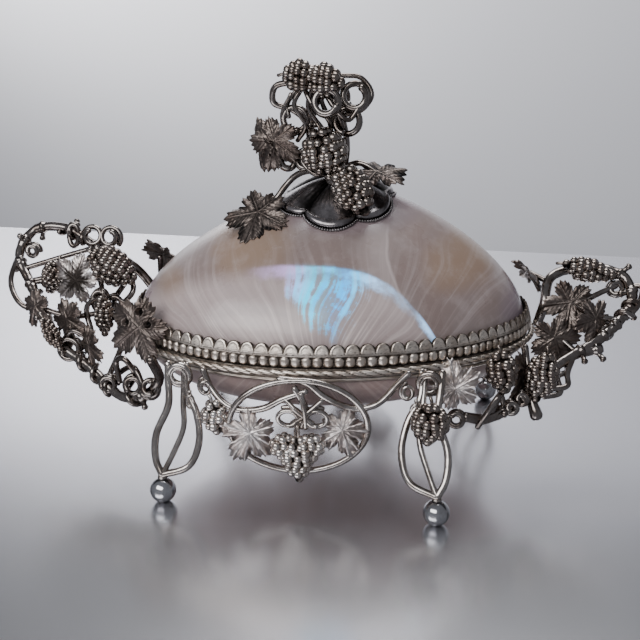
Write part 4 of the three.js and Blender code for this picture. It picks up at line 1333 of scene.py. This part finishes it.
@dataclass
class Swag:
    """Wires, leaves and grapes that hang under the rim between two legs."""

    side: int
    name: str
    finishes: Finishes

    @property
    def facing(self) -> float:
        """Azimuth that the swag faces."""
        return 7.0 if self.side < 0 else 180.0

    def at(self, share: float, down: float, out: float = 0.0) -> np.ndarray:
        """Place on the swag: a share along the rim, one of the hoop's height down, and how far out."""
        return PLAN.beside(self.side, share, PLAN.outside_rope + 1.0 + out, PLAN.seam - down * SWAG_HEIGHT)

    def pose(self, share: float, down: float, out: float, tilt: float = 0, turn: float = 0) -> Pose:
        """Pose of an ornament on the swag."""
        return Pose(tuple(self.at(share, down, out)), self.facing, tilt, turn)

    def build_tie(self, skin: Skin) -> None:
        """Adds the tie, the sticks and the two rings over the front bunch."""
        ties = [
            (1.1, [(-0.05, 0.156, 1), (0, 0.375, 2), (-0.02, 0.562, 2)]),
            (0.95, [(-0.02, 0.2, 2.4), (-0.005, 0.375, 3.2), (0.0, 0.56, 2.8)]),
            (0.8, [(-0.09, 0.28, 1.4), (-0.03, 0.4, 3.0), (0.03, 0.52, 2.6)]),
            (0.8, [(0.07, 0.28, 1.4), (0.005, 0.4, 3.0), (-0.06, 0.52, 2.6)]),
            (0.6, [(-0.02, 0.5, 2.6), (-0.045, 0.6, 3), (-0.03, 0.72, 3.6)]),
        ]
        for radius, spots in ties:
            Wire(route(self.at, spots), radius).add_to(skin)
        for share, wide in ((-0.075, -1), (0.045, 1)):
            Curl(self.pose(share, 0.469, 2), 4.1, 0.85, 1.6, 0.3, 60, wide, 0.8).add_to(skin)

    def build_wires(self) -> None:
        """Builds the hoop, the two arched wires with their scrolls, and the tie at the front."""
        skin = Skin()
        hoop = self.pose(-0.035, 0.581, 0.5)
        Curl(hoop, SWAG_WIDTH / 2, 1.1, 1, 0, high=SWAG_HEIGHT / SWAG_WIDTH).add_to(skin)
        left = [(-0.47, 0.062), (-0.43, 0.25, 0.5), (-0.33, 0.406, 2.2), (-0.2, 0.406, 1), (-0.1, 0.281, 1),
                (0, 0.188, 1)]
        right = [(-0.12, 0.075, 0.3), (0, 0.106, 0.4), (0.08, 0.25, 1), (0.2, 0.375, 1), (0.3, 0.328, 2.2),
                 (0.4, 0.125, 0.5), (0.44, 0.05)]
        for spots in (left, right):
            Wire(route(self.at, spots), 1.12).add_to(skin, 12)
        for share, start in ((-0.455, 80), (0.43, 100)):
            Curl(self.pose(share, 0.24, 1), 3.0, 0.8, 1.5, 0.5, start, 0.75).add_to(skin)
        if self.side < 0:
            self.build_tie(skin)
        node = f"swag_{self.name}_wire"
        skin.finish(node + "s", self.finishes["bright_wire"], Slot.OXIDISED, node)

    def build(self) -> None:
        """Builds the wires and the ornaments on them."""
        self.build_wires()
        w, ruffled = SWAG_WIDTH, {"ruffle": 0.13, "waves": 3}
        ornaments = {
            "grapes": Bunch(self.pose(-0.035, 0.875, 3.8), 0.378 * w, 0.378 * w, 0.55, 1.3, HEART, 3),
            "leaf_left": VineLeaf(self.pose(-0.24, 0.641, 3.7, 10, 150), 0.235 * w, **ruffled),
            "leaf_right": VineLeaf(self.pose(0.155, 0.594, 2.1, 10, 200), 0.21 * w, **ruffled),
            "small_grapes": Bunch(self.pose(-0.4, 0.531, 3.0, 0, 12), 0.244 * w, 0.2 * w, berry=1.3, seed=4),
        }
        for kind, ornament in ornaments.items():
            dress(f"swag_{self.name}_{kind}", ornament, self.finishes, bright=True)


def dress(node: str, ornament: VineLeaf | Bunch, finishes: Finishes, bright: bool = False) -> None:
    """Builds a leaf or bunch as the piece that stands for its CAD node.

    Args:
        node: The CAD node's name.
        ornament: The leaf or bunch.
        finishes: The box's materials.
        bright: It is brighter than the rest.
    """
    skin = Skin()
    ornament.add_to(skin)
    bunch = isinstance(ornament, Bunch)
    material = finishes[("bright_" if bright else "") + ("berry" if bunch else "leaf")]
    slot = Slot.OXIDISED if bunch or node.startswith("finial") else Slot.FROSTED
    skin.finish(f"{node}_cast", material, slot, node)


@dataclass
class Handle:
    """What the two handles share: the vine work at one end of the rim."""

    finishes: Finishes
    side: int = -1
    branch_wire: float = 1.8
    tendril_wire: float = 1.05

    def at(self, along: float, across: float, up: float) -> np.ndarray:
        """Place in hundredths of the handle's reach from that end of the rim."""
        end = PLAN.rim(math.pi if self.side < 0 else 0.0, 0.0, PLAN.seam)
        return end + np.array([self.side * along, across, up]) / 100 * HANDLE_REACH

    def on_rim(self, degrees: float, out: float, drop: float = 0.0) -> np.ndarray:
        """Place beside the rim at an angle, level with the rope or so much under it."""
        return PLAN.rim(math.radians(degrees), PLAN.outside_rope + out, PLAN.rope_height - drop)

    def pose(self, spot: Point, facing: float = 0, tilt: float = 0, turn: float = 0) -> Pose:
        """Pose of an ornament at a place of the handle."""
        return Pose(tuple(self.at(*spot)), facing, tilt, turn)

    def add_vine(self, skin: Skin, branch: Wire, tendrils: Sequence[Sequence[Point]],
                 winds: Sequence[Point], coil: float) -> None:
        """Adds the branch, its tendrils and the thin wire wound round it.

        Args:
            skin: Where they go.
            branch: The thick knotted wire.
            tendrils: Spots of each thin wire.
            winds: Start, end and turns of each winding along the branch.
            coil: How far a winding's centre lies beyond the branch's radius.
        """
        branch.add_to(skin, 14)
        for spots in tendrils:
            Wire(route(self.at, spots), self.tendril_wire).add_to(skin)
        for start, end, turns in winds:
            helix = wound(branch.path(), start, end, turns, self.branch_wire + coil)
            skin.tube(helix, self.tendril_wire * 0.95, 8, recess=0.15)

    def dress_all(self, ornaments: dict[str, VineLeaf | Bunch], bright: str) -> None:
        """Builds the leaves and bunches of the handle, and the one named bright in bright silver."""
        for node, ornament in ornaments.items():
            dress(node, ornament, self.finishes, node == bright)


@dataclass
class LeftHandle(Handle):
    """The larger handle: a branch that loops up and back, with its tendrils."""

    def build_branch(self) -> None:
        """Builds the branch, its tendrils and twigs."""
        skin = Skin()
        branch = Wire(route(self.at, [
            self.on_rim(160, 1.5), (16, 36, 18), (43, 34, 33),
            (70, 42, 44), (92, 40, 42), (100, 28, 28), (86, 12, 10), (70, -5, -4),
            (52, -22, -20), (28, -33, -30), (0, -50, -42), (-18, -56, -38),
            (-30, -60, -24), self.on_rim(-138, 1.5, 2),
        ]), self.branch_wire, knots=(0.17, 0.24, 0.31, 0.355, 0.41, 0.47, 0.56, 0.7, 0.78, 0.88))
        tendrils = [
            [(100, 28, 28), (100, 10, 12), (88, -2, 0), (70, -5, -4)],
            [(93, 20, 19), (64, 26, 28), (45, 33, 33)],
            [(28, -33, -30), (28, -27, -16), (40, -26, -8), (52, -22, -20)],
            [(20, 35, 22), (26, 20, 26), (46, 6, 17), (68, 18, 15), (87, 14, 12)],
            [self.on_rim(-160, 1), (22, -10, 0), (46, -15, -2), (70, -10, 2),
             (78, 4, 3)],
            [self.on_rim(160, 1), (-2, 36, 28)],
            [self.on_rim(-138, 1.5, 2), (-24, -64, 0), (-21, -64, 13)],
            [(10, -42, -34), (-2, -40, -26), (-12, -52, -22), (-20, -58, -36)],
            [(30, 34, 26), (20, 30, 16), (24, 10, 2), (20, 2, -8)],
            [(20, 30, 20), (10, 10, 10), (16, -6, 0), (8, -20, -14), (12, -40, -34)],
            [(40, 20, 24), (30, 2, 10), (36, -10, 4), (30, -20, -10)],
            [(-2, -46, -40), (-10, -50, -26), (-4, -50, -16), (4, -44, -20),
             (2, -46, -34)],
        ]
        winds = ((0.2, 0.27, 2.0), (0.69, 0.8, 2.6), (0.84, 0.93, 2.2), (0.5, 0.55, 1.6))
        self.add_vine(skin, branch, tendrils, winds, 0.55)
        curls = [
            ((46.5, 34, 41), 4.2, 1.3, 0.45, -40, -1), ((33.5, 34, 41), 4.2, 1.3, 0.45, -40, 1),
            ((62, 38, 40), 4.4, 1.3, 0.1, 60, 0.5), ((30, -2, 6), 4.0, 1.4, 0.2, 30, 0.7),
            ((45, -24, -22), 4.2, 1.4, 0.15, 0, 1), ((10, -46, -36), 3, 1.6, 0.3, 0, 1),
            ((22, 5, 2), 3.1, 1.5, 0.3, 90, 1), ((-10, -54, -32), 3.4, 1.4, 0.35, 90, 1),
            ((90, 28, 30), 2.6, 1.6, 0.45, 0, 1), ((-24, -60, -30), 3.2, 1.3, 0.3, 180, 1),
        ]
        for spot, radius, turns, shrink, start, wide in curls:
            Curl(self.pose(spot, 0, 15), radius, self.tendril_wire, turns, shrink, start, wide).add_to(skin)
        skin.finish("vine_left", self.finishes["wire"], Slot.OXIDISED, "handle_left_branch")

    def build(self) -> None:
        """Builds the branch with its leaves and grapes."""
        self.build_branch()
        r, pose = HANDLE_REACH, self.pose
        rim_eyes = ((-50, 0.37), (-134, 0.39), (164, 0.3))
        ornaments = {
            "leaf_rim": VineLeaf(pose((-21, -65, 13), -15, 10, 130), 0.252 * r, rings=40, eyes=rim_eyes),
            "leaf_top": VineLeaf(pose((48, 5, 17), -10, 10, 60), 0.208 * r, centre=1.7),
            "leaf_outer": VineLeaf(pose((72, -12.2, 3), -30, 10, 160), 0.162 * r),
            "leaf_middle": VineLeaf(pose((46, -20, -2), -30, 5, 180), 0.2 * r),
            "leaf_low": VineLeaf(pose((26, -34, -14), -44, 0, 180), 0.178 * r),
            # dark=0.9 darkens the leaf behind the handle as painted shade.
            "leaf_back": VineLeaf(pose((-4, 38, 29), 150, 35, 200), 0.21 * r, dark=0.9),
            "grapes_top": Bunch(pose((24, 12, 26), turn=60), 0.352 * r, 0.26 * r, berry=1.5, seed=5),
            "grapes_outer": Bunch(pose((70, 16, 15), turn=-20), 0.241 * r, 0.185 * r, berry=1.1, seed=6),
            "grapes_middle": Bunch(pose((22, -16, 0), -20), 0.28 * r, 0.14 * r, berry=1.15, seed=7),
            "grapes_low": Bunch(pose((54, -28.5, -12), turn=28), 0.28 * r, 0.105 * r, berry=1.0, seed=8),
        }
        made = {f"handle_left_{kind}": ornament for kind, ornament in ornaments.items()}
        self.dress_all(made, "handle_left_leaf_top")


@dataclass
class RightHandle(Handle):
    """The smaller handle: a knotted branch that ends in a stub under the rim."""

    side: int = 1

    def build_branch(self) -> None:
        """Builds the branch, its tendrils, twigs and cut stub."""
        skin = Skin()
        branch = Wire(route(self.at, [
            self.on_rim(8, 1.5), (10, 10, 12), (13, 22, 26),
            (24, 28, 31), (45, 30, 33), (62, 24, 28), (66, 12, 17), (58, 0, 7),
            (42, -12, -5), (20, -26, -16), (6, -40, -27), (-10, -58, -34),
            (-24, -68, -38), (-36, -72, -36),
        ]), self.branch_wire, knots=(0.33, 0.39, 0.44, 0.5, 0.545, 0.62, 0.72, 0.8, 0.9))
        tendrils = [
            [(64, 20, 24), (72, 18, 25), (70, 8, 16), (62, 2, 8)],
            [(30, -20, -10), (26, -30, -20), (26, -36, -26), (6, -40, -28)],
            [(10, 12, 14), (22, 17, 13), (41, 0, 10), (58, 0, 7)],
            [self.on_rim(-5, 1), (17, -9, -2), (30, -17, -9)],
            [(13, 20, 24), (0, 27, 28)],
            [self.on_rim(-20, 1), (1, -39, -14), (6, -40, -27)],
            [self.on_rim(-32, 1), (-16, -58, -20), (-12, -60, -34)],
            [(34, 12, 14), (46, 16, 20), (56, 20, 24)],
            [(-20, -66, -34), (-16, -72, -20), (-22, -74, -30), (-28, -72, -42)],
            [(24, -18, -14), (26, -26, -20), (20, -32, -22), (22, -38, -30),
             (12, -42, -32)],
        ]
        self.add_vine(skin, branch, tendrils, ((0.42, 0.48, 1.6), (0.8, 0.86, 1.8)), 0.5)
        twig = route(self.at, [(30, -18, -11), (46, -14, -8)])
        Wire(twig, self.branch_wire, knots=(0.85,)).add_to(skin, 12)
        stub = np.linspace(self.at(2, -44, -28), self.at(8, -50, -42), 5)
        skin.tube(stub, self.branch_wire * np.array([0.8, 0.9, 1, 1.15, 1.25]), 12, recess=0.15)
        curls = [
            ((56, 20, 22), 2.6, 1.5, 0.3, 120), ((-41, -74, -37), 2.7, 1.4, 0.3, 0),
            ((-2, -52, -30), 2.4, 1.6, 0.4, 0), ((-8, -60, -33), 2.2, 1.4, 0.4, 90),
            ((50, -4, 0), 2.2, 1.5, 0.4, 200),
        ]
        for spot, radius, turns, shrink, start in curls:
            Curl(self.pose(spot, 0, 20), radius, self.tendril_wire, turns, shrink, start).add_to(skin)
        skin.finish("vine_right", self.finishes["wire"], Slot.OXIDISED, "handle_right_branch")

    def build(self) -> None:
        """Builds the branch with its leaves and grapes, and the ornaments of the leg beside it."""
        self.build_branch()
        r, pose = HANDLE_REACH, self.pose
        beside = tuple(PLAN.beside(-1, 0.63, 2 * PLAN.outside_rope, PLAN.seam - PLAN.band_height))
        front = tuple(LEGS[1].point(0.36) + np.array([0, -r / 9, 0]))
        ornaments = {
            "handle_right_leaf_top": VineLeaf(pose((27, 10, 14), 5, 25, 170), 0.208 * r, curl=0.1),
            "handle_right_leaf_low": VineLeaf(pose((17, -14, -2), 10, 5, 200), 0.19 * r),
            "handle_right_leaf_outer": VineLeaf(pose((42, -6, 10), 40, 15, 170), 0.18 * r),
            "handle_right_leaf_end": VineLeaf(pose((-2, -40, -14.5), 75, 5, 185), 0.215 * r),
            # dark=0.9 darkens the leaf behind the handle as painted shade.
            "handle_right_leaf_back": VineLeaf(pose((-2, 29, 28), 120, 40, 160), 0.17 * r, dark=0.9),
            "leg_leaf_front_right": VineLeaf(Pose(beside, 0, 12, 20), 0.185 * r, ruffle=0.12, waves=3),
            "handle_right_grapes_top": Bunch(pose((38, 21, 33.5), turn=80), 0.345 * r, 0.16 * r,
                                             berry=1.4, seed=9),
            "handle_right_grapes_low": Bunch(pose((9, -49, -16), turn=-8), 0.315 * r, 0.205 * r, seed=10),
            "handle_right_grapes_rim": Bunch(pose((-15, -62.8, -9), turn=10), 0.259 * r, 0.195 * r, seed=11),
            "leg_grapes_front_right": Bunch(Pose(front), 0.241 * r, 0.222 * r, seed=12),
        }
        self.dress_all(ornaments, "leg_leaf_front_right")


@dataclass
class Finial:
    """The cup on the lid's peak and the vine, leaves and grapes above it."""

    finishes: Finishes
    cup_radius: float = 17.6
    cup_lobe: float = 3.0
    lobes: int = 6
    edge_beads: int = 150
    bead: float = 0.5

    @staticmethod
    def at(x: float, y: float, z: float) -> np.ndarray:
        """Place in hundredths of the finial's height from the top of the cup."""
        return FINIAL_FOOT + np.array([x, y, z]) / 100 * FINIAL_HEIGHT

    def pose(self, spot: Point, facing: float = 0, tilt: float = 0, turn: float = 0) -> Pose:
        """Pose of an ornament at a place of the finial."""
        return Pose(tuple(self.at(*spot)), facing, tilt, turn)

    def cup_surface(self, share: np.ndarray | float, angle: np.ndarray,
                    lift: np.ndarray | float) -> np.ndarray:
        """Points over the dome at a share of the cup's lobed reach and a lift above the shell.

        Args:
            share: Share of the reach.
            angle: Angle round the cup.
            lift: Height above the dome.

        Returns:
            Points, in the broadcast shape.
        """
        scallop = np.abs(np.sin(self.lobes * angle / 2)) ** 0.75
        reach = share * (self.cup_radius + (self.cup_lobe * scallop) * share)
        x = FINIAL_FOOT[0] + reach * np.cos(angle)
        y = FINIAL_FOOT[1] + reach * np.sin(angle)
        return np.stack([x, y, PLAN.dome_height(x, y) + lift], axis=-1)

    def build_cup(self) -> None:
        """Builds the cup: six dished petals with creases between them, a rolled edge and tiny beads.

        The lift above the dome falls from the crown to the edge; each petal sags between its
        creases and turns up at its rolled edge.
        """
        angle = ring_angles(288)
        petal = np.abs(np.sin(self.lobes * angle / 2))[None, :]
        f = np.concatenate([np.linspace(0, 0.86, 14), [0.9, 0.93, 0.96, 0.98, 1.0]])[:, None]
        dish = 2.3 * (petal**0.5 - 0.85) * np.sin(np.clip(f / 0.97, 0, 1) * math.pi) ** 0.7
        roll = 0.6 * np.exp(-((f - 0.955) / 0.022) ** 2)
        top = CUP_EDGE * (1 - 0.7 * (f > 0.985)) + CUP_RISE * (1 - f**3) + dish + roll
        streak = 0.14 * np.sin(angle * 54)[None, :] * np.sin(f * 9 + 2)
        shade = np.clip(0.95 - 0.85 * petal**0.8 * f**0.7 - 2.2 * roll + streak, 0, 1)
        under = np.linspace(0.97, 0, 6)[:, None]
        below = PLAN.seat + CUP_RISE / 2 * (1 - under**3) + 0 * petal
        points = np.concatenate([self.cup_surface(f, angle, top), self.cup_surface(under, angle, below)])
        skin = Skin()
        skin.grid(points, np.concatenate([shade, np.full(below.shape, 0.9)]))
        edge = self.cup_surface(1.015, np.linspace(0, TAU, 2400), 0.62)
        walked = walked_length(edge)
        centres = read_rows(np.linspace(0, walked[-1], self.edge_beads + 1)[:-1], walked, edge)
        outward = centres - FINIAL_FOOT
        outward[:, 2] = 2.0
        skin.balls(centres, self.bead, unit(outward), 8, 5)
        skin.finish("cup_petals", self.finishes["cup"], Slot.POLISHED, "finial_cup")

    def build_vine(self) -> None:
        """Builds the trunk, the stems and the loops above the cup."""
        skin = Skin()
        spots = [(0, -2, -2), (-10, -3, 12), (-24, -4, 34), (-20, -6, 60), (-12, -6, 84)]
        trunk = Wire(route(self.at, spots), 1.5, knots=(0.15, 0.34, 0.55, 0.78))
        trunk.add_to(skin, 12)
        stems = [
            [(5, 2, -2), (8, 2, 24), (4, -2, 50), (-6, -4, 84)],
            [(2, 0, 2), (20, -2, 10), (44, -4, -2)],
            [(-10, -3, 10), (-30, -4, 12), (-50, -11, 26), (-66, -3, 30)],
            [(-5, -3, 4), (-34, -14, 0), (-58, -30, -30)],
            [(-23, -4, 44), (-40, -6, 56), (-56, -8, 62), (-54, -10, 76),
             (-36, -10, 80), (-14, -7, 80)],
            [(-14, -8, 78), (-12, -10, 62), (-2, -10, 45), (4, -6, 36)],
            [(-6, -8, 76), (0, -12, 60), (6, -10, 42)],
            [(-20, -6, 84), (-36, -8, 72), (-44, -8, 60), (-42, -10, 50)],
            [(-20, -12, 78), (-24, -14, 60), (-12, -14, 42), (-8, -10, 34)],
            [(-30, -10, 80), (-20, -16, 62), (-6, -16, 50), (-4, -10, 36)],
            [(2, -2, 86), (20, 0, 84), (30, -2, 70), (20, -6, 56),
             (4, -4, 52)],
            [(-28, -14, 78), (-36, -16, 62), (-26, -16, 44), (-34, -12, 30)],
            [(-10, -16, 74), (2, -20, 58), (12, -16, 50), (20, -12, 60)],
            [(-40, -8, 70), (-48, -10, 50), (-40, -12, 36), (-26, -10, 40)],
            [(-20, -10, 30), (-30, -14, 14), (-16, -20, 2), (-2, -16, 6)],
        ]
        for k, spots in enumerate(stems):
            Wire(route(self.at, spots), 1.1 if k < 5 else 0.85).add_to(skin)
        skin.tube(wound(trunk.path(), 0.25, 0.5, 2.2, 1.7), 0.68, 8, recess=0.15)
        loops = [
            ((-6, -26, 66), 4.2, 0, 1.4, 0.1), ((16, -8, 69), 4.9, 10, 1.6, 0.3),
            ((10, -10, 48), 4.2, -10, 1.15, 0.0), ((-37, -8, 48), 4.2, 0, 1.25, 0.1),
            ((-28, -5, 12), 3.2, 0, 1.3, 0.05), ((-44, -6, 10), 2.6, 20, 1.2, 0.1),
            ((2, -16, 0), 2.9, 0, 1.2, 0.05), ((2, 6, 66), 4.0, 60, 1.3, 0.2),
        ]
        for spot, radius, facing, turns, shrink in loops:
            Curl(self.pose(spot, facing, 10), radius, 1.15, turns, shrink, 200).add_to(skin)
        skin.finish("vine_top", self.finishes["wire"], Slot.OXIDISED, "finial_vine")

    def build(self) -> None:
        """Builds the cup, the vine and the ornaments on it."""
        self.build_cup()
        self.build_vine()
        h, pose = FINIAL_HEIGHT, self.pose
        x, y = self.at(-65, -36.4, 0)[:2]
        low = Pose((x, y, float(PLAN.dome_height(x, y)) + 3.4), -14, 46, 180)
        ornaments = {
            # dark=1.0 darkens this leaf as painted shade.
            "leaf_low": VineLeaf(low, 0.345 * h, -0.05, dark=1.0, rests_on=PLAN.dome_height),
            "leaf_middle": VineLeaf(pose((-53, -16, 30), -10, 5, 165), 0.28 * h),
            "leaf_back": VineLeaf(pose((-70, -2, 28), -60, 0, 180), 0.28 * h),
            # dark=1.1 darkens this edge-on leaf as painted shade.
            "leaf_right": VineLeaf(pose((36, -8, 3), 10, 78, -60), 0.3 * h, dark=1.1),
            "grapes_top": Bunch(pose((-18, -19, 85), turn=86), 0.52 * h, 0.29 * h, berry=1.35,
                                bodies=PAIR, seed=13),
            "grapes_middle": Bunch(pose((-8, -20, 20), turn=15), 0.442 * h, 0.41 * h, berry=1.5, seed=14),
            "grapes_low": Bunch(pose((19, -34, -8), 0, 30, 35), 0.494 * h, 0.338 * h, berry=1.45, seed=15),
        }
        for kind, ornament in ornaments.items():
            dress(f"finial_{kind}", ornament, self.finishes)


LEGS = (
    Leg("front_left", -1, -1, 0.574, 0.568, 17.6),
    Leg("front_right", -1, 1, 0.52, 0.478, 24),
    Leg("back_left", 1, -1, 0.64, 0.687, 13.6),
    Leg("back_right", 1, 1, 0.7, 0.734, 9),
)


@dataclass
class Studio:
    """Pale table, backdrop, soft lights and the camera."""

    focal_px: float = 1050.0
    frame_px: float = 640.0
    distance: float = 0.381
    elevation: float = 20.0
    azimuth: float = 10.0
    target: tuple[float, float, float] = (-4.0, -1.0, 45.0)
    table_back: float = 0.26
    wall: float = 0.9
    sensor: float = 36.0

    def camera(self) -> None:
        """Places the camera at the photograph's view."""
        a, e = math.radians(self.azimuth), math.radians(self.elevation)
        back = Vector((math.sin(a) * math.cos(e), -math.cos(a) * math.cos(e), math.sin(e)))
        data = bpy.data.cameras.new("camera")
        data.sensor_width = self.sensor
        data.lens = self.focal_px / self.frame_px * self.sensor
        data.clip_start, data.clip_end = 0.01, 20
        camera = bpy.data.objects.new("camera", data)
        camera.location = Vector((np.array(self.target) + ORIGIN_SHIFT) / 1000) + back * self.distance
        camera.rotation_mode = "QUATERNION"
        camera.rotation_quaternion = (-back).to_track_quat("-Z", "Y")
        bpy.context.scene.collection.objects.link(camera)
        bpy.context.scene.camera = camera

    def surface(self, name: str, corners: Sequence[Point], colour: Colour,
                rough: float, metal: float = 0.0) -> None:
        """Adds one flat stage surface.

        Args:
            name: Its name.
            corners: Its four corners in metres.
            colour: Its colour.
            rough: Its roughness.
            metal: How far it mirrors what stands on it.
        """
        mesh = bpy.data.meshes.new(name)
        mesh.from_pydata([tuple(c) for c in corners], [], [(0, 1, 2, 3)])
        material = bpy.data.materials.new(name)
        material.use_nodes = True
        shader = material.node_tree.nodes["Principled BSDF"]
        shader.inputs["Base Color"].default_value = colour
        shader.inputs["Roughness"].default_value = rough
        shader.inputs["Metallic"].default_value = metal
        mesh.materials.append(material)
        obj = bpy.data.objects.new(name, mesh)
        bpy.context.scene.collection.objects.link(obj)
        obj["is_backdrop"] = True

    def light(self, name: str, place: Point, aim: Point, size: tuple[float, float], power: float,
              colour: tuple[float, float, float] = (1, 1, 1)) -> None:
        """Adds an oblong soft light.

        Args:
            name: Its name.
            place: Where it stands, in metres.
            aim: Where it points.
            size: Its width and height.
            power: Its power in watts.
            colour: Its colour.
        """
        data = bpy.data.lights.new(name, "AREA")
        data.shape = "RECTANGLE"
        data.size, data.size_y = size
        data.energy, data.color = power, colour
        lamp = bpy.data.objects.new(name, data)
        lamp.location = place
        lamp.rotation_mode = "QUATERNION"
        lamp.rotation_quaternion = (Vector(aim) - Vector(place)).to_track_quat("-Z", "Y")
        bpy.context.scene.collection.objects.link(lamp)

    def build(self) -> None:
        """Builds the table, the backdrop, the lights and the camera."""
        far = self.table_back
        table = [(-3, -3, 0), (3, -3, 0), (3, far, 0), (-3, far, 0)]
        self.surface("table", table, (0.68, 0.68, 0.71, 1), 0.22, 0.93)
        for name, low, high, colour, rough in (("backdrop", -2, 0.52, (0.8, 0.8, 0.84, 1), 0.9),
                                               ("backdrop_top", 0.52, 3, (0.12, 0.12, 0.125, 1), 1.0)):
            wall = [(-4, self.wall, low), (4, self.wall, low), (4, self.wall, high), (-4, self.wall, high)]
            self.surface(name, wall, colour, rough)
        world = bpy.data.worlds.new("studio")
        world.use_nodes = True
        world.node_tree.nodes["Background"].inputs["Color"].default_value = (0.66, 0.68, 0.74, 1)
        world.node_tree.nodes["Background"].inputs["Strength"].default_value = 0.34
        bpy.context.scene.world = world
        middle = (0, 0, 0.05)
        self.light("key", (-0.3, -0.7, 0.55), middle, (0.9, 0.4), 5.6)
        self.light("top", (0.0, 0.4, 0.95), middle, (0.55, 0.55), 8.5, (0.97, 0.98, 1))
        self.light("back", (-0.45, 0.55, 0.35), (-0.3, 0.9, 0.5), (0.5, 0.5), 6.0)
        self.camera()


def corners(box: tuple[Vector, Vector]) -> list[list[float]]:
    """A box's two corners as plain lists."""
    return [list(box[0]), list(box[1])]


def main() -> None:
    """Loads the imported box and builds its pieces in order."""
    logging.basicConfig(level=logging.INFO, format="%(message)s")
    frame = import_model()
    LOG.info("%d nodes in the packed frame", len(frame["nodes"]))
    cad_box = corners(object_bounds())
    finishes = build_finishes()
    ShellBody(finishes).build()
    for leg in LEGS:
        leg.build(finishes)
    Swag(-1, "front", finishes).build()
    Swag(1, "back", finishes).build()
    LeftHandle(finishes).build()
    RightHandle(finishes).build()
    Finial(finishes).build()
    Studio().build()
    sizes = {"cad": cad_box, "visual": corners(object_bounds())}
    LOG.info("sizes %s", sizes)


if __name__ == "__main__":
    main()
